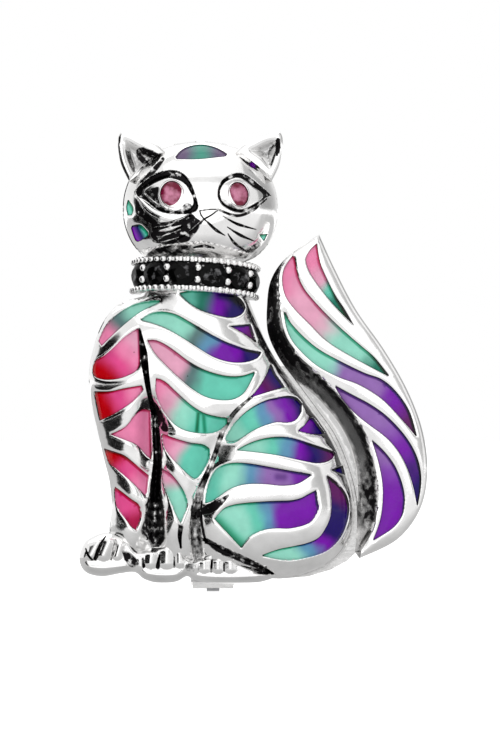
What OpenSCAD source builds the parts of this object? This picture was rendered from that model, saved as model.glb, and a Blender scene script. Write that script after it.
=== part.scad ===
// Sitting-cat brooch: openwork silver castings filled with translucent enamel panels.
// X runs to the viewer's right, Z up, and the front faces -Y. The back plane that lies on
// the cloth is y = 0, and the origin is on it at the middle of the pin stem's line.

/* [Castings] */
// Thickness of the flat plate behind the body
frame_t = 0.8; // [0.6:0.1:1]
// Wall thickness of the hollow castings
wall_t = 1.0; // [0.9:0.1:1.2]
// How far the body's dome rises above its rim
body_dome = 4.0; // [3.6:0.1:4.1]
// How far in from the rim the body's dome keeps rising
body_round = 6.0; // [5:0.5:8]
// How far the head's dome rises above its rim
head_dome = 5.4; // [5:0.1:6]
// How far in from the rim the head's dome keeps rising
head_round = 5.6; // [5:0.2:6.4]
// How far the tail's face stands in front of the plate
tail_rise = 2.4; // [2:0.1:3]
// How far the tail's face crowns above its edges
tail_crown = 0.6; // [0.3:0.1:0.9]

/* [Enamel] */
// How far the enamel lies below the silver
enamel_low = 0.3; // [0.1:0.01:0.32]
// Thickness of the enamel panels
enamel_t = 0.65; // [0.5:0.05:0.65]
// Gap between a panel and its silver opening
enamel_gap = 0.03; // [0.02:0.01:0.06]

/* [Collar and stones] */
// Outer radius of the collar
collar_r = 6.5; // [6.4:0.05:6.7]
// Thickness of the collar band
collar_t = 1.3; // [1.1:0.1:1.4]
// Height of the collar band
collar_h = 3.4; // [3:0.1:3.6]
// Radius of a collar stone
collar_stone_r = 1.15; // [0.9:0.05:1.2]
// Radius of an eye stone
eye_stone_r = 1.1; // [0.9:0.05:1.2]
// Wall of an eye's bezel
bezel_t = 0.25; // [0.2:0.05:0.3]

/* [Pin and catch] */
// Radius of the pin stem's wire
stem_r = 0.45; // [0.4:0.01:0.5]
// Radius of the hinge rivet
rivet_r = 0.4; // [0.35:0.01:0.45]
// Width of the knuckle between the hinge's ears
knuckle_w = 1.3; // [1.1:0.1:1.5]
// Outer radius of the catch's roller
roller_r = 1.1; // [1.05:0.01:1.2]
// Running clearance between parts that turn in each other
turn_gap = 0.04; // [0.02:0.01:0.06]

/* [Hidden] */
$fn = 48;

// --- Outlines, each [x, z], as the two edges that a form runs between ---

body_left = [[-6.6, 15.4], [-6.9, 14.4], [-9.2, 13.7], [-10.9, 11.9], [-12.0, 9.0], [-12.4, 6.2],
  [-12.1, 3.5], [-11.5, 0.8], [-10.9, -1.8], [-10.3, -4.2], [-10.1, -6.8], [-10.3, -9.4], [-9.2, -11.8],
  [-5.2, -12.9], [-0.8, -13.5], [4.0, -13.9]];
body_right = [[3.0, 15.4], [3.6, 14.0], [4.3, 12.2], [5.2, 10.0], [6.3, 8.0], [7.9, 5.8], [9.9, 3.2],
  [11.9, 0.4], [13.2, -2.6], [14.0, -5.5], [14.1, -8.0], [13.4, -10.4], [11.6, -12.3], [8.2, -13.6],
  [4.0, -13.9]];
neck_top = 20; // the body's form runs on up inside the collar to here
// Valleys in the body's dome: [points along it, depth, half-width]
valleys = [
  [[[-6.0, 3.0], [-6.1, -2.0], [-5.8, -6.0], [-6.4, -11.0]], 2.2, 1.4],
  [[[1.4, 1.2], [-0.8, -3.4], [-1.6, -7.5], [-1.4, -12.0]], 1.2, 1.3]];

tail_right = [[10.6, 20.5], [12.2, 17.0], [14.3, 13.0], [17.1, 9.0], [19.4, 5.0], [20.9, 1.0],
  [21.4, -3.0], [20.7, -6.8], [18.4, -9.9], [14.6, -11.8]];
tail_face_left = [[10.4, 20.4], [7.9, 18.7], [6.7, 17.0], [6.5, 14.5], [7.0, 11.0], [8.7, 8.2],
  [11.7, 5.4], [14.2, 2.3], [15.7, -1.0], [16.3, -5.0], [16.0, -8.6], [14.4, -11.6]];
tail_foot_left = [[10.2, 20.3], [7.3, 18.2], [5.8, 16.0], [5.4, 13.4], [5.5, 10.7], [6.6, 8.2],
  [8.2, 6.0], [10.2, 3.3], [12.1, 0.6], [13.4, -2.4], [14.2, -5.3], [14.4, -8.0], [14.2, -11.2]];

head_x = -1.25; // middle of the head
head_z = 23.5;
head_side = [[0.0, 6.4], [3.9, 5.7], [6.4, 3.7], [7.5, 1.5], [7.75, -0.7], [7.4, -2.6], [6.5, -4.3],
  [5.0, -5.5], [2.6, -6.1], [0.0, -6.2]];
ear_inner = [[3.4, 5.2], [4.4, 6.1], [5.6, 6.6], [6.8, 7.0], [7.8, 7.3]];
ear_outer = [[7.1, 2.3], [7.9, 4.0], [8.2, 5.6], [8.2, 6.7], [7.9, 7.3]];
face_x = -0.87; // middle of the face, which looks a little to one side
eye_gap = 3.4; // from there to each eye
eye_z = 24.6;
muzzle_z = 20.9;
muzzle_r = 2.2;
muzzle_rise = 0.5;

// Enamel panels: [name, colour, one edge, the other edge]
BODY_PANELS = [
  ["shoulder", "teal",
    [[-5.2, 14.0], [-7.8, 13.6], [-10.2, 12.0], [-11.5, 9.8]],
    [[-5.2, 13.8], [-7.3, 12.7], [-9.2, 11.2], [-11.2, 9.3]]],
  ["upper_foreleg", "hotpink",
    [[-7.4, 11.2], [-8.7, 10.4], [-10.5, 8.7], [-11.8, 7.8], [-11.9, 6.5], [-11.3, 6.1]],
    [[-7.4, 11.2], [-7.3, 9.2], [-7.4, 7.2], [-8.8, 6.3], [-10.3, 6.0], [-11.3, 6.1]]],
  ["mid_foreleg", "hotpink",
    [[-7.0, 5.5], [-8.8, 5.2], [-10.3, 4.9], [-11.9, 4.9]],
    [[-6.9, 5.1], [-7.8, 4.0], [-9.5, 2.8], [-11.3, 1.9]]],
  ["elbow", "hotpink",
    [[-10.3, 0.6], [-8.8, 1.3], [-7.8, 2.5], [-7.0, 3.1], [-6.2, 3.0]],
    [[-10.3, 0.6], [-9.0, 0.1], [-7.6, -0.5], [-6.8, -1.4], [-6.1, -2.0]]],
  ["lower_foreleg", "hotpink",
    [[-10.9, -0.8], [-9.9, -1.1], [-8.8, -1.5], [-7.8, -2.3], [-6.3, -3.6]],
    [[-10.9, -0.8], [-10.4, -2.2], [-9.6, -2.9], [-8.3, -4.0], [-6.5, -5.8]]],
  ["shin", "deeppink",
    [[-9.8, -4.6], [-9.1, -5.1], [-8.2, -5.8], [-7.3, -6.5], [-7.1, -7.7], [-7.6, -9.0]],
    [[-9.8, -4.6], [-9.7, -6.2], [-9.4, -7.0], [-8.7, -7.9], [-8.1, -8.7], [-7.6, -9.0]]],
  ["second_elbow", "hotpink",
    [[-5.1, 0.7], [-2.8, -0.1], [-0.5, -0.6], [-0.4, -1.8], [-1.2, -3.4], [-1.8, -3.9]],
    [[-5.1, 0.7], [-4.9, -0.6], [-4.2, -1.7], [-3.2, -2.7], [-2.4, -3.5], [-1.8, -3.9]]],
  ["second_shin", "teal",
    [[-5.1, -2.8], [-4.0, -3.5], [-2.8, -5.2], [-2.5, -6.6], [-3.2, -8.3]],
    [[-5.1, -2.8], [-4.9, -4.4], [-4.3, -6.0], [-3.7, -7.4], [-3.2, -8.3]]],
  ["throat", "mediumpurple",
    [[-3.4, 14.7], [-1.6, 15.0], [0.3, 14.9], [1.9, 14.6], [2.9, 14.0], [3.3, 13.2]],
    [[-3.4, 14.7], [-2.5, 13.8], [-1.3, 13.0], [0.2, 12.5], [1.7, 12.2], [2.8, 12.5], [3.3, 13.2]]],
  ["nape", "indigo",
    [[1.6, 11.4], [2.8, 11.5], [3.8, 11.6]],
    [[1.6, 11.4], [2.8, 10.8], [4.4, 9.8]]],
  ["upper_chest", "mediumaquamarine",
    [[-7.3, 12.0], [-5.8, 12.8], [-3.8, 12.6], [-1.6, 11.4], [0.7, 10.1], [3.0, 9.2], [4.9, 8.8]],
    [[-7.3, 12.0], [-5.3, 11.4], [-3.5, 10.5], [-1.5, 9.2], [0.5, 8.1], [2.6, 7.7], [4.3, 8.1],
     [4.9, 8.8]]],
  ["mid_chest", "pink",
    [[-6.6, 10.0], [-5.4, 9.9], [-3.9, 9.0], [-1.8, 7.5], [0.5, 6.6], [2.6, 6.4], [4.3, 6.9]],
    [[-6.6, 10.0], [-5.6, 8.4], [-3.9, 6.7], [-2.2, 5.2], [-0.4, 4.2], [1.6, 4.0], [3.1, 4.7],
     [4.3, 6.9]]],
  ["lower_chest", "pink",
    [[-5.7, 6.2], [-4.8, 5.9], [-3.5, 4.7], [-2.0, 3.4], [-0.5, 2.6], [1.6, 2.2]],
    [[-5.7, 6.2], [-5.6, 4.3], [-4.6, 2.4], [-3.3, 1.2], [-1.5, 0.7], [0.3, 0.8], [1.6, 1.8]]],
  ["back", "indigo",
    [[5.8, 7.5], [5.2, 6.3], [4.5, 5.2], [3.7, 4.2]],
    [[5.9, 7.5], [6.3, 6.6], [6.8, 5.9], [7.2, 5.3]]],
  ["hip", "mediumaquamarine",
    [[1.2, 0.1], [1.8, 1.2], [3.0, 2.6], [4.8, 3.8], [6.6, 4.3], [8.1, 4.4], [9.0, 3.6]],
    [[1.2, -0.1], [2.3, -0.1], [3.6, 0.7], [5.0, 1.4], [6.5, 1.8], [8.0, 1.8], [8.9, 2.9]]],
  ["hip_notch", "darkslateblue",
    [[8.5, 1.0], [9.2, 1.6], [9.9, 2.3], [10.6, 1.5], [11.2, 0.7]],
    [[8.5, 0.9], [9.9, 0.6], [11.2, 0.6]]],
  ["thigh", "mediumpurple",
    [[2.3, -1.0], [3.8, -0.2], [5.7, 0.3], [7.6, 0.3], [9.7, -0.3], [12.3, -1.2]],
    [[2.3, -1.0], [4.2, -1.2], [6.4, -1.5], [8.7, -2.0], [10.4, -2.3], [11.7, -2.0], [12.3, -1.2]]],
  ["thigh_notch", "indigo",
    [[11.9, -2.9], [13.0, -2.5]],
    [[11.9, -3.0], [13.2, -3.5]]],
  ["upper_haunch", "mediumaquamarine",
    [[-0.8, -6.3], [-0.6, -4.8], [0.1, -3.1], [1.5, -2.3], [3.7, -2.3], [6.5, -2.8], [10.0, -3.4]],
    [[-0.8, -6.3], [0.1, -6.0], [1.5, -5.0], [3.2, -4.4], [5.5, -4.4], [8.0, -4.5], [10.0, -3.4]]],
  ["haunch", "teal",
    [[0.0, -8.0], [1.2, -6.7], [2.7, -6.3], [4.7, -6.1], [6.7, -6.0], [8.3, -5.9], [9.4, -5.4],
     [10.4, -4.9]],
    [[2.7, -10.9], [3.7, -9.6], [4.9, -9.0], [6.2, -8.8], [7.7, -8.8], [9.0, -8.5], [9.9, -8.0],
     [10.6, -6.6]]],
  ["rump", "indigo",
    [[11.3, -3.4], [12.4, -4.2], [13.4, -5.6], [13.6, -7.3], [13.0, -9.2], [11.8, -10.8], [9.5, -11.7],
     [7.2, -12.0], [4.7, -11.5]],
    [[11.3, -3.4], [11.7, -5.0], [11.8, -7.0], [11.4, -8.4], [10.4, -9.8], [8.7, -10.4], [6.7, -10.8],
     [4.7, -11.5]]]];
TAIL_PANELS = [
  ["tail_tip", "hotpink",
    [[10.4, 19.7], [10.7, 17.8], [11.3, 16.3], [12.2, 14.5], [13.2, 13.0], [14.1, 11.4]],
    [[10.4, 19.7], [9.3, 18.4], [9.5, 17.0], [10.5, 15.4], [12.2, 13.3], [14.1, 11.4]]],
  ["upper_tail", "lightpink",
    [[8.1, 18.6], [8.5, 16.5], [9.2, 15.0], [10.2, 13.8], [11.7, 12.2], [13.2, 10.8], [14.7, 9.5],
     [16.2, 8.2], [17.8, 6.2]],
    [[8.1, 18.6], [7.2, 17.4], [6.9, 16.0], [7.2, 14.4], [8.2, 13.0], [9.7, 11.5], [11.2, 10.0],
     [13.0, 8.8], [15.7, 7.3], [17.8, 6.2]]],
  ["mid_tail", "mediumaquamarine",
    [[7.0, 13.0], [7.7, 11.8], [9.2, 10.2], [10.7, 9.0], [12.9, 7.8], [15.2, 6.7], [17.0, 6.0],
     [18.5, 4.6], [19.8, 2.5], [20.4, 0.2]],
    [[7.0, 13.0], [7.3, 11.3], [7.9, 9.9], [9.2, 8.4], [10.7, 7.2], [12.7, 6.2], [14.8, 5.4],
     [17.2, 3.8], [19.3, 1.5], [20.4, 0.2]]],
  ["lower_tail", "mediumpurple",
    [[12.0, 5.6], [14.0, 4.5], [16.2, 3.3], [18.0, 1.8], [19.5, 0.0], [20.5, -2.0], [20.8, -4.2],
     [20.4, -6.8]],
    [[12.1, 5.4], [13.2, 3.7], [14.8, 2.1], [16.6, 0.8], [18.0, -0.5], [19.1, -2.2], [19.9, -4.4],
     [20.4, -6.8]]],
  ["tail_base", "indigo",
    [[15.8, 0.1], [17.0, -1.0], [18.2, -2.6], [19.0, -4.7], [19.1, -6.5], [18.4, -8.4], [15.9, -10.1]],
    [[15.8, 0.1], [16.5, -2.2], [16.9, -4.4], [16.9, -6.4], [16.6, -8.2], [15.9, -10.1]]]];
HEAD_PANELS = [
  ["crown", "teal",
    [[-3.8, 28.2], [-2.9, 29.1], [-1.3, 29.5], [0.3, 29.2], [1.5, 28.5]],
    [[-3.7, 28.0], [-1.3, 28.0], [1.4, 28.3]]],
  ["temple", "purple",
    [[3.6, 28.0], [4.2, 27.8], [4.6, 27.0]],
    [[3.6, 28.0], [3.8, 27.3], [4.6, 27.0]]],
  ["cheek", "teal",
    [[-8.5, 24.0], [-8.65, 23.2], [-8.5, 22.4]],
    [[-8.4, 24.0], [-7.9, 23.1], [-8.1, 22.4]]],
  ["jowl", "navy",
    [[-8.1, 21.4], [-7.2, 21.5], [-6.4, 20.7]],
    [[-8.2, 21.2], [-7.6, 19.8], [-6.4, 20.4]]],
  ["right_cheek", "teal",
    [[4.6, 20.5], [5.5, 20.6]],
    [[4.7, 20.3], [5.1, 19.8]]]];

stones = 6; // on the collar

// Back strap and plate
bridge_w = 2.4;
bridge_t = 0.8;
bridge_low = -12.4;
bridge_h = 27;
frame_rim = 2.0;
tail_ledge = 1.5; // how far the plate reaches under the tail
ledge_top = 7.4;

// Findings on the back
stem_y = 2.0; // the stem's line behind the back plane
stem_top = 15.6;
point_len = 3.8;
point_r = 0.05;
hinge_z = -14.0;
knuckle_r = 1.15;
hinge_ear_r = 0.9;
hinge_ear_w = 1.35;
hinge_ear_foot = 2; // height of an ear's foot on the plate
hinge_plate_t = 0.5;
hinge_plate_h = 3.2;
hinge_plate_drop = 0.8; // how far the plate reaches below the hinge's axis
rivet_head = [0.2, 0.2]; // how much wider than the rivet, and how thick
catch_z = 13.8;
catch_ear_h = 0.75;
catch_wall = 0.5;
catch_foot = [2.4, 0.6];
roller_h = 3.0;
roller_out = 0.1; // how far the roller stands out of each end of the catch
roller_bore = 0.62; // radius of the roller's bore round the stem
slot_w = 1.1;
tab = [2.4, 0.7, 0.9]; // reach, width and height of the roller's thumb tab
too_big = 60; // longer than anything that it cuts

// Gap round a part that is set in another
seat_gap = 0.03;

// --- Curves and distances ---

function total(v) = v * [for (x = v) 1];
function knot(p, i) = p[max(0, min(len(p) - 1, i))];
function between(a, b, c, d, t) =
  0.5 * (2 * b + (c - a) * t + (2 * a - 5 * b + 4 * c - d) * t * t + (3 * b - a - 3 * c + d) * t * t * t);
// Point at the fraction t of a smooth curve through the points p
function along(p, t) = let (u = t * (len(p) - 1), i = min(floor(u), len(p) - 2))
  between(knot(p, i - 1), p[i], p[i + 1], knot(p, i + 2), u - i);
// Closed outline between two edges, with n rows. The ends are trimmed so that a tip has some width.
trim = 0.025;
function row_t(i, n) = trim + (1 - 2 * trim) * i / n;
function outline(a, b, n) = concat([for (i = [0 : n]) along(a, row_t(i, n))],
  [for (i = [n : -1 : 0]) along(b, row_t(i, n))]);
function area(p) = 0.5 * total([for (i = [0 : len(p) - 1]) cross(p[i], p[(i + 1) % len(p)])]);
function to_segment(p, a, b) = let (d = b - a, t = max(0, min(1, (p - a) * d / (d * d))))
  norm(p - a - t * d);
function to_outline(p, o) = min([for (i = [0 : len(o) - 1]) to_segment(p, o[i], o[(i + 1) % len(o)])]);
function to_line(p, l) = min([for (i = [0 : len(l) - 2]) to_segment(p, l[i], l[i + 1])]);
function rounded(d, r) = let (u = 1 - min(d / r, 1)) sqrt(1 - u * u);
function mirrored(p) = [for (q = p) [-q[0], q[1]]];
function moved(p, d) = [for (q = p) q + d];

// --- How far each casting's outer face stands in front of the plate's front ---

body_rows = 22;
body_cols = 15;
body_edge = outline(body_left, body_right, body_rows);
body_form = concat([[-6.6, neck_top]], [for (i = [1 : len(body_edge) - 2]) body_edge[i]],
  [[3.0, neck_top]]);
body_rise = function(p) wall_t + body_dome * rounded(to_outline(p, body_form), body_round)
  - total([for (v = valleys) v[1] * rounded(to_outline(p, body_form), body_round)
    * exp(-pow(to_line(p, v[0]) / v[2], 2))]);

tail_rows = 16;
tail_cols = 4;
tail_edge = outline(tail_face_left, tail_right, tail_rows);
tail_round = 2.2;
tail_rise_at = function(p) tail_rise + tail_crown * rounded(to_outline(p, tail_edge), tail_round);

head_left_edge = moved(mirrored(head_side), [head_x, head_z]);
head_right_edge = moved(head_side, [head_x, head_z]);
head_rows = 16;
head_cols = 12;
head_edge = outline(head_left_edge, head_right_edge, head_rows);
head_rise = function(p) wall_t + head_dome * rounded(to_outline(p, head_edge), head_round)
  + muzzle_rise * exp(-pow(norm(p - [face_x, muzzle_z]) / muzzle_r, 2));

// Solid between two edges, from rise = back(p) to rise = front(p) in front of the plate
module sheet(a, b, rows, cols, front, back) {
  flat = [for (i = [0 : rows], j = [0 : cols])
    let (t = row_t(i, rows), s = j / cols) along(a, t) * (1 - s) + along(b, t) * s];
  size = len(flat);
  points = concat([for (p = flat) [p[0], -frame_t - front(p), p[1]]],
    [for (p = flat) [p[0], -frame_t - back(p), p[1]]]);
  function at(i, j) = i * (cols + 1) + j;
  function quad(a, b, c, d) = [[a, b, c], [a, c, d]];
  faces_of = concat(
    [for (i = [0 : rows - 1], j = [0 : cols - 1])
      each quad(at(i, j), at(i, j + 1), at(i + 1, j + 1), at(i + 1, j))],
    [for (i = [0 : rows - 1], j = [0 : cols - 1])
      each quad(size + at(i, j), size + at(i + 1, j), size + at(i + 1, j + 1), size + at(i, j + 1))],
    [for (i = [0 : rows - 1]) each quad(at(i, 0), at(i + 1, 0), size + at(i + 1, 0), size + at(i, 0))],
    [for (i = [0 : rows - 1])
      each quad(at(i, cols), size + at(i, cols), size + at(i + 1, cols), at(i + 1, cols))],
    [for (j = [0 : cols - 1]) each quad(at(0, j), size + at(0, j), size + at(0, j + 1), at(0, j + 1))],
    [for (j = [0 : cols - 1])
      each quad(at(rows, j), at(rows, j + 1), size + at(rows, j + 1), size + at(rows, j))]);
  ahead = area(outline(a, b, rows)) > 0;
  polyhedron(points, ahead ? faces_of : [for (f = faces_of) [f[2], f[1], f[0]]], convexity = 6);
}

// Hollow shell whose back follows its front, wall_t behind it
module shell(a, b, rows, cols, rise) {
  sheet(a, b, rows, cols, rise, function(p) max(0, rise(p) - wall_t));
}

// Extrudes a 2D shape drawn in [x, z] from y = y0 to y = y1
module standing(y0, y1) {
  translate([0, y1, 0]) rotate([90, 0, 0]) linear_extrude(y1 - y0) children();
}

panel_rows = 9;
panel_cols = 2;
panel_back = 0.05; // a panel's back stays this far in front of the plate
module panel(cell, rise) {
  color(cell[1], 0.85)
    sheet(cell[2], cell[3], panel_rows, panel_cols, function(p) rise(p) - enamel_low,
      function(p) max(panel_back, rise(p) - enamel_low - enamel_t));
}

// The openings that a casting has for its panels
module openings(cells) {
  for (cell = cells)
    standing(-too_big, 1) offset(delta = enamel_gap) polygon(outline(cell[2], cell[3], panel_rows));
}

// --- Castings ---

paw_y = -frame_t - 2.4; // where the instep ends and the toes begin
toe_reach = 1.3;
toe_plump = 0.15; // how much a toe laps over its neighbours
toe_tip = 0.9; // size of a toe's tip beside its root

module ball(x, z, r, reach = 0) {
  translate([x, paw_y - reach, z]) sphere(r, $fn = 10);
}

// A paw: its toes in a row to the right of x0, with their widths, under an instep from ankle = [x, z, r]
module paw(x0, widths, sole, rise, ankle) {
  last = len(widths) - 1;
  function toe_x(i) = x0 + total([for (k = [0 : 1 : i]) widths[k]]) - widths[i] / 2;
  function toe_r(i) = widths[i] / 2 + toe_plump;
  for (i = [0 : last])
    hull() {
      ball(toe_x(i), sole + rise, toe_r(i));
      ball(toe_x(i), sole + toe_tip * toe_r(i), toe_tip * toe_r(i), toe_reach);
    }
  hull() {
    ball(ankle[0], ankle[1], ankle[2]);
    for (i = [0, last]) ball(toe_x(i), sole + rise, toe_r(i));
  }
}

module paws() {
  paw(-13.2, [1.2, 1.3, 1.6, 1.4], -13.6, 2.4, [-8.9, -9.4, 1.4]);
  paw(-7.7, [1.3, 1.5, 1.7, 1.3], -14.1, 2.6, [-3.9, -10.0, 1.3]);
  paw(-1.3, [1.2, 1.6, 1.6, 1.8], -13.9, 1.8, [3.6, -11.4, 0.9]);
  ball(-2.0, -12.6, 0.7, toe_reach);
}

module body_casting() {
  color("silver") difference() {
    union() {
      shell(body_left, body_right, body_rows, body_cols, body_rise);
      paws();
    }
    openings(BODY_PANELS);
    collar_seat();
  }
}

module tail_casting() {
  color("silver") difference() {
    union() {
      sheet(tail_face_left, tail_right, tail_rows, tail_cols, tail_rise_at, function(p) 0);
      tail_wall();
    }
    standing(-frame_t - tail_rise + wall_t, 0) offset(delta = -wall_t) polygon(tail_edge);
    openings(TAIL_PANELS);
  }
}

// The tail's bare left side, sloping from its foot on the plate up into its face
module tail_wall() {
  lap = 0.3; // how far it runs in under the face
  slope_w = 1.6;
  low = 0.15; // heights of its foot and its top, as fractions of the face's
  top = 0.96;
  sheet(tail_foot_left, moved(tail_face_left, [lap, 0]), tail_rows, tail_cols,
    function(p) tail_rise * min(top, low + to_line(p, tail_foot_left) / slope_w),
    function(p) 0);
}

ear_back = 1.6; // how far the ears stand in front of the plate
ear_t = 2.0;
ear_rows = 6;

module ear() {
  standing(-frame_t - ear_back - ear_t, -frame_t - ear_back)
    polygon(outline(ear_inner, ear_outer, ear_rows));
}

module head_casting() {
  color("silver") difference() {
    union() {
      shell(head_left_edge, head_right_edge, head_rows, head_cols, head_rise);
      translate([head_x, 0, head_z]) {
        ear();
        mirror([1, 0, 0]) ear();
      }
    }
    openings(HEAD_PANELS);
    eye_seats();
    collar_seat();
  }
}

// --- Collar ---

collar_x = -1.8;
collar_low = 14.25;
collar_tilt = 6; // degrees that its front is raised

module collar_place() {
  translate([collar_x, -frame_t, collar_low + collar_h / 2]) rotate([-collar_tilt, 0, 0]) children();
}

// Half ring round the neck, grown all round by `grow` to cut the castings clear of it
module ring(grow = 0) {
  rotate([0, 0, 180]) rotate_extrude(angle = 180)
    translate([collar_r - collar_t - grow, -collar_h / 2 - grow])
      square([collar_t + 2 * grow, collar_h + 2 * grow]);
}

module collar_seat() {
  collar_place() ring(2 * seat_gap);
}

// Children placed on the band at the angle a from the front
module on_collar(a) {
  rotate([0, 0, a]) translate([0, -collar_r, 0]) rotate([90, 0, 0]) children();
}

stone_pitch = 29;
collar_turn = 2.5; // how far the collar is turned round the neck, in degrees
function stone_angle(i) = collar_turn + (i - (stones - 1) / 2) * stone_pitch;
seat_depth = 0.7;

module collar_band() {
  color("silver") collar_place() difference() {
    ring();
    for (i = [0 : stones - 1])
      on_collar(stone_angle(i)) translate([0, 0, -seat_depth])
        cylinder(r = collar_stone_r + seat_gap, h = 2);
  }
}

// A faceted stone's outer form, from its point behind to its table in front, for a radius of 1
stone_side = [[0, -0.5], [1, -0.1], [1, 0.1], [0.6, 0.4], [0, 0.4]];

module stone(r) {
  rotate_extrude() polygon(r * stone_side);
}

module collar_stone(i) {
  color([0.05, 0.05, 0.06]) collar_place() on_collar(stone_angle(i)) stone(collar_stone_r);
}

// --- Eyes ---

eye_depth = 5.75; // how far in front of the plate the bezel's back is
bezel_h = 0.9;
eye_sink = 0.3; // from the bezel's rim down to the stone's girdle

module at_eye(side) {
  translate([face_x + side * eye_gap, -frame_t - eye_depth, eye_z]) rotate([90, 0, 0]) children();
}

module eye_seats() {
  for (side = [-1, 1])
    at_eye(side) translate([0, 0, -0.01]) cylinder(r = eye_stone_r + bezel_t + 2 * seat_gap, h = 3);
}

module eye_bezel(side) {
  color("silver") at_eye(side) difference() {
    cylinder(r = eye_stone_r + bezel_t + seat_gap, h = bezel_h);
    translate([0, 0, -1]) cylinder(r = eye_stone_r + seat_gap, h = 3);
  }
}

module eye_stone(side) {
  color("firebrick") at_eye(side) translate([0, 0, bezel_h - eye_sink]) stone(eye_stone_r);
}

// --- Back ---

module body_shape() {
  polygon(body_edge);
}

module back_frame() {
  color("gainsboro") standing(-frame_t, 0) difference() {
    union() {
      body_shape();
      intersection() {
        translate([tail_ledge, 0]) body_shape();
        translate([0, -too_big / 2]) square([too_big, too_big / 2 + ledge_top]);
      }
    }
    offset(delta = -frame_rim) body_shape();
  }
}

module back_bridge() {
  color("gainsboro") translate([-bridge_w / 2, -frame_t - bridge_t, bridge_low])
    cube([bridge_w, bridge_t, bridge_h]);
}

// --- Hinge, stem and catch ---

hinge_ear_x = knuckle_w / 2 + turn_gap; // inner face of an ear
hinge_w = 2 * (hinge_ear_x + hinge_ear_w);
hinge_foot_z = hinge_z - hinge_plate_drop + hinge_ear_foot / 2;

// Cylinder on the hinge's axis
module on_hinge(r, w) {
  translate([0, stem_y, hinge_z]) rotate([0, 90, 0]) cylinder(r = r, h = w, center = true);
}

module hinge_ear(side) {
  hull() {
    translate([side * (hinge_ear_x + hinge_ear_w / 2), 0, 0]) on_hinge(hinge_ear_r, hinge_ear_w);
    translate([side * (hinge_ear_x + hinge_ear_w / 2), hinge_plate_t / 2, hinge_foot_z])
      cube([hinge_ear_w, hinge_plate_t, hinge_ear_foot], center = true);
  }
}

module hinge_base() {
  color("gainsboro") difference() {
    union() {
      translate([-hinge_w / 2, 0, hinge_z - hinge_plate_drop])
        cube([hinge_w, hinge_plate_t, hinge_plate_h]);
      for (side = [-1, 1]) hinge_ear(side);
    }
    on_hinge(rivet_r, hinge_w + 1);
  }
}

module hinge_rivet() {
  color("silver") {
    on_hinge(rivet_r, hinge_w);
    for (side = [-1, 1])
      translate([side * (hinge_w + rivet_head[1]) / 2, 0, 0])
        on_hinge(rivet_r + rivet_head[0], rivet_head[1]);
  }
}

module pin_stem() {
  shank_top = stem_top - point_len;
  color("lightsteelblue") difference() {
    union() {
      on_hinge(knuckle_r, knuckle_w);
      translate([0, stem_y, hinge_z]) cylinder(r = stem_r, h = shank_top - hinge_z);
      translate([0, stem_y, shank_top]) cylinder(r1 = stem_r, r2 = point_r, h = point_len);
    }
    on_hinge(rivet_r + turn_gap, knuckle_w + 1);
  }
}

catch_r = roller_r + turn_gap + catch_wall;

module at_catch() {
  translate([0, stem_y, catch_z]) children();
}

// The way that the stem leaves a ring of radius r
module slot(r) {
  translate([-slot_w / 2, 0, -too_big / 2]) cube([slot_w, r + 1, too_big]);
}

module catch_base() {
  color("gainsboro") at_catch() difference() {
    union() {
      for (end = [-1, 1])
        translate([0, 0, end * (roller_h - catch_ear_h) / 2])
          cylinder(r = catch_r, h = catch_ear_h, center = true);
      translate([-catch_foot[0] / 2, -stem_y, -roller_h / 2])
        cube([catch_foot[0], catch_foot[1], roller_h]);
    }
    cylinder(r = roller_r + turn_gap, h = too_big, center = true);
    slot(catch_r);
  }
}

module catch_roller() {
  color("gainsboro") at_catch() difference() {
    union() {
      cylinder(r = roller_r, h = roller_h + 2 * roller_out, center = true);
      translate([0, -tab[1] / 2, -tab[2] / 2]) cube(tab);
    }
    cylinder(r = roller_bore, h = too_big, center = true);
    slot(roller_r);
  }
}

// --- Assembly ---

body_casting();
tail_casting();
head_casting();
collar_band();
back_frame();
back_bridge();
eye_bezel(-1);  // eye_bezel_left
eye_bezel(1);  // eye_bezel_right
eye_stone(-1);  // eye_stone_left
eye_stone(1);  // eye_stone_right
hinge_base();
hinge_rivet();
pin_stem();
catch_base();
catch_roller();
for (i = [0 : stones - 1])
  collar_stone(i);
for (cell = BODY_PANELS)
  panel(cell, body_rise);
for (cell = TAIL_PANELS)
  panel(cell, tail_rise_at);
for (cell = HEAD_PANELS)
  panel(cell, head_rise);
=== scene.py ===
"""Looks of the sitting-cat brooch: polished openwork silver, see-through enamel and set stones.

Lengths in this file are in millimetres, in the frame's own axes: x to the viewer's right, z up,
and `rise` is how far a surface stands in front of the castings' back, towards -Y.
"""

import math

import bmesh
import bpy
import numpy as np
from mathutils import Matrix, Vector, kdtree
from mathutils.geometry import delaunay_2d_cdt


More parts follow.
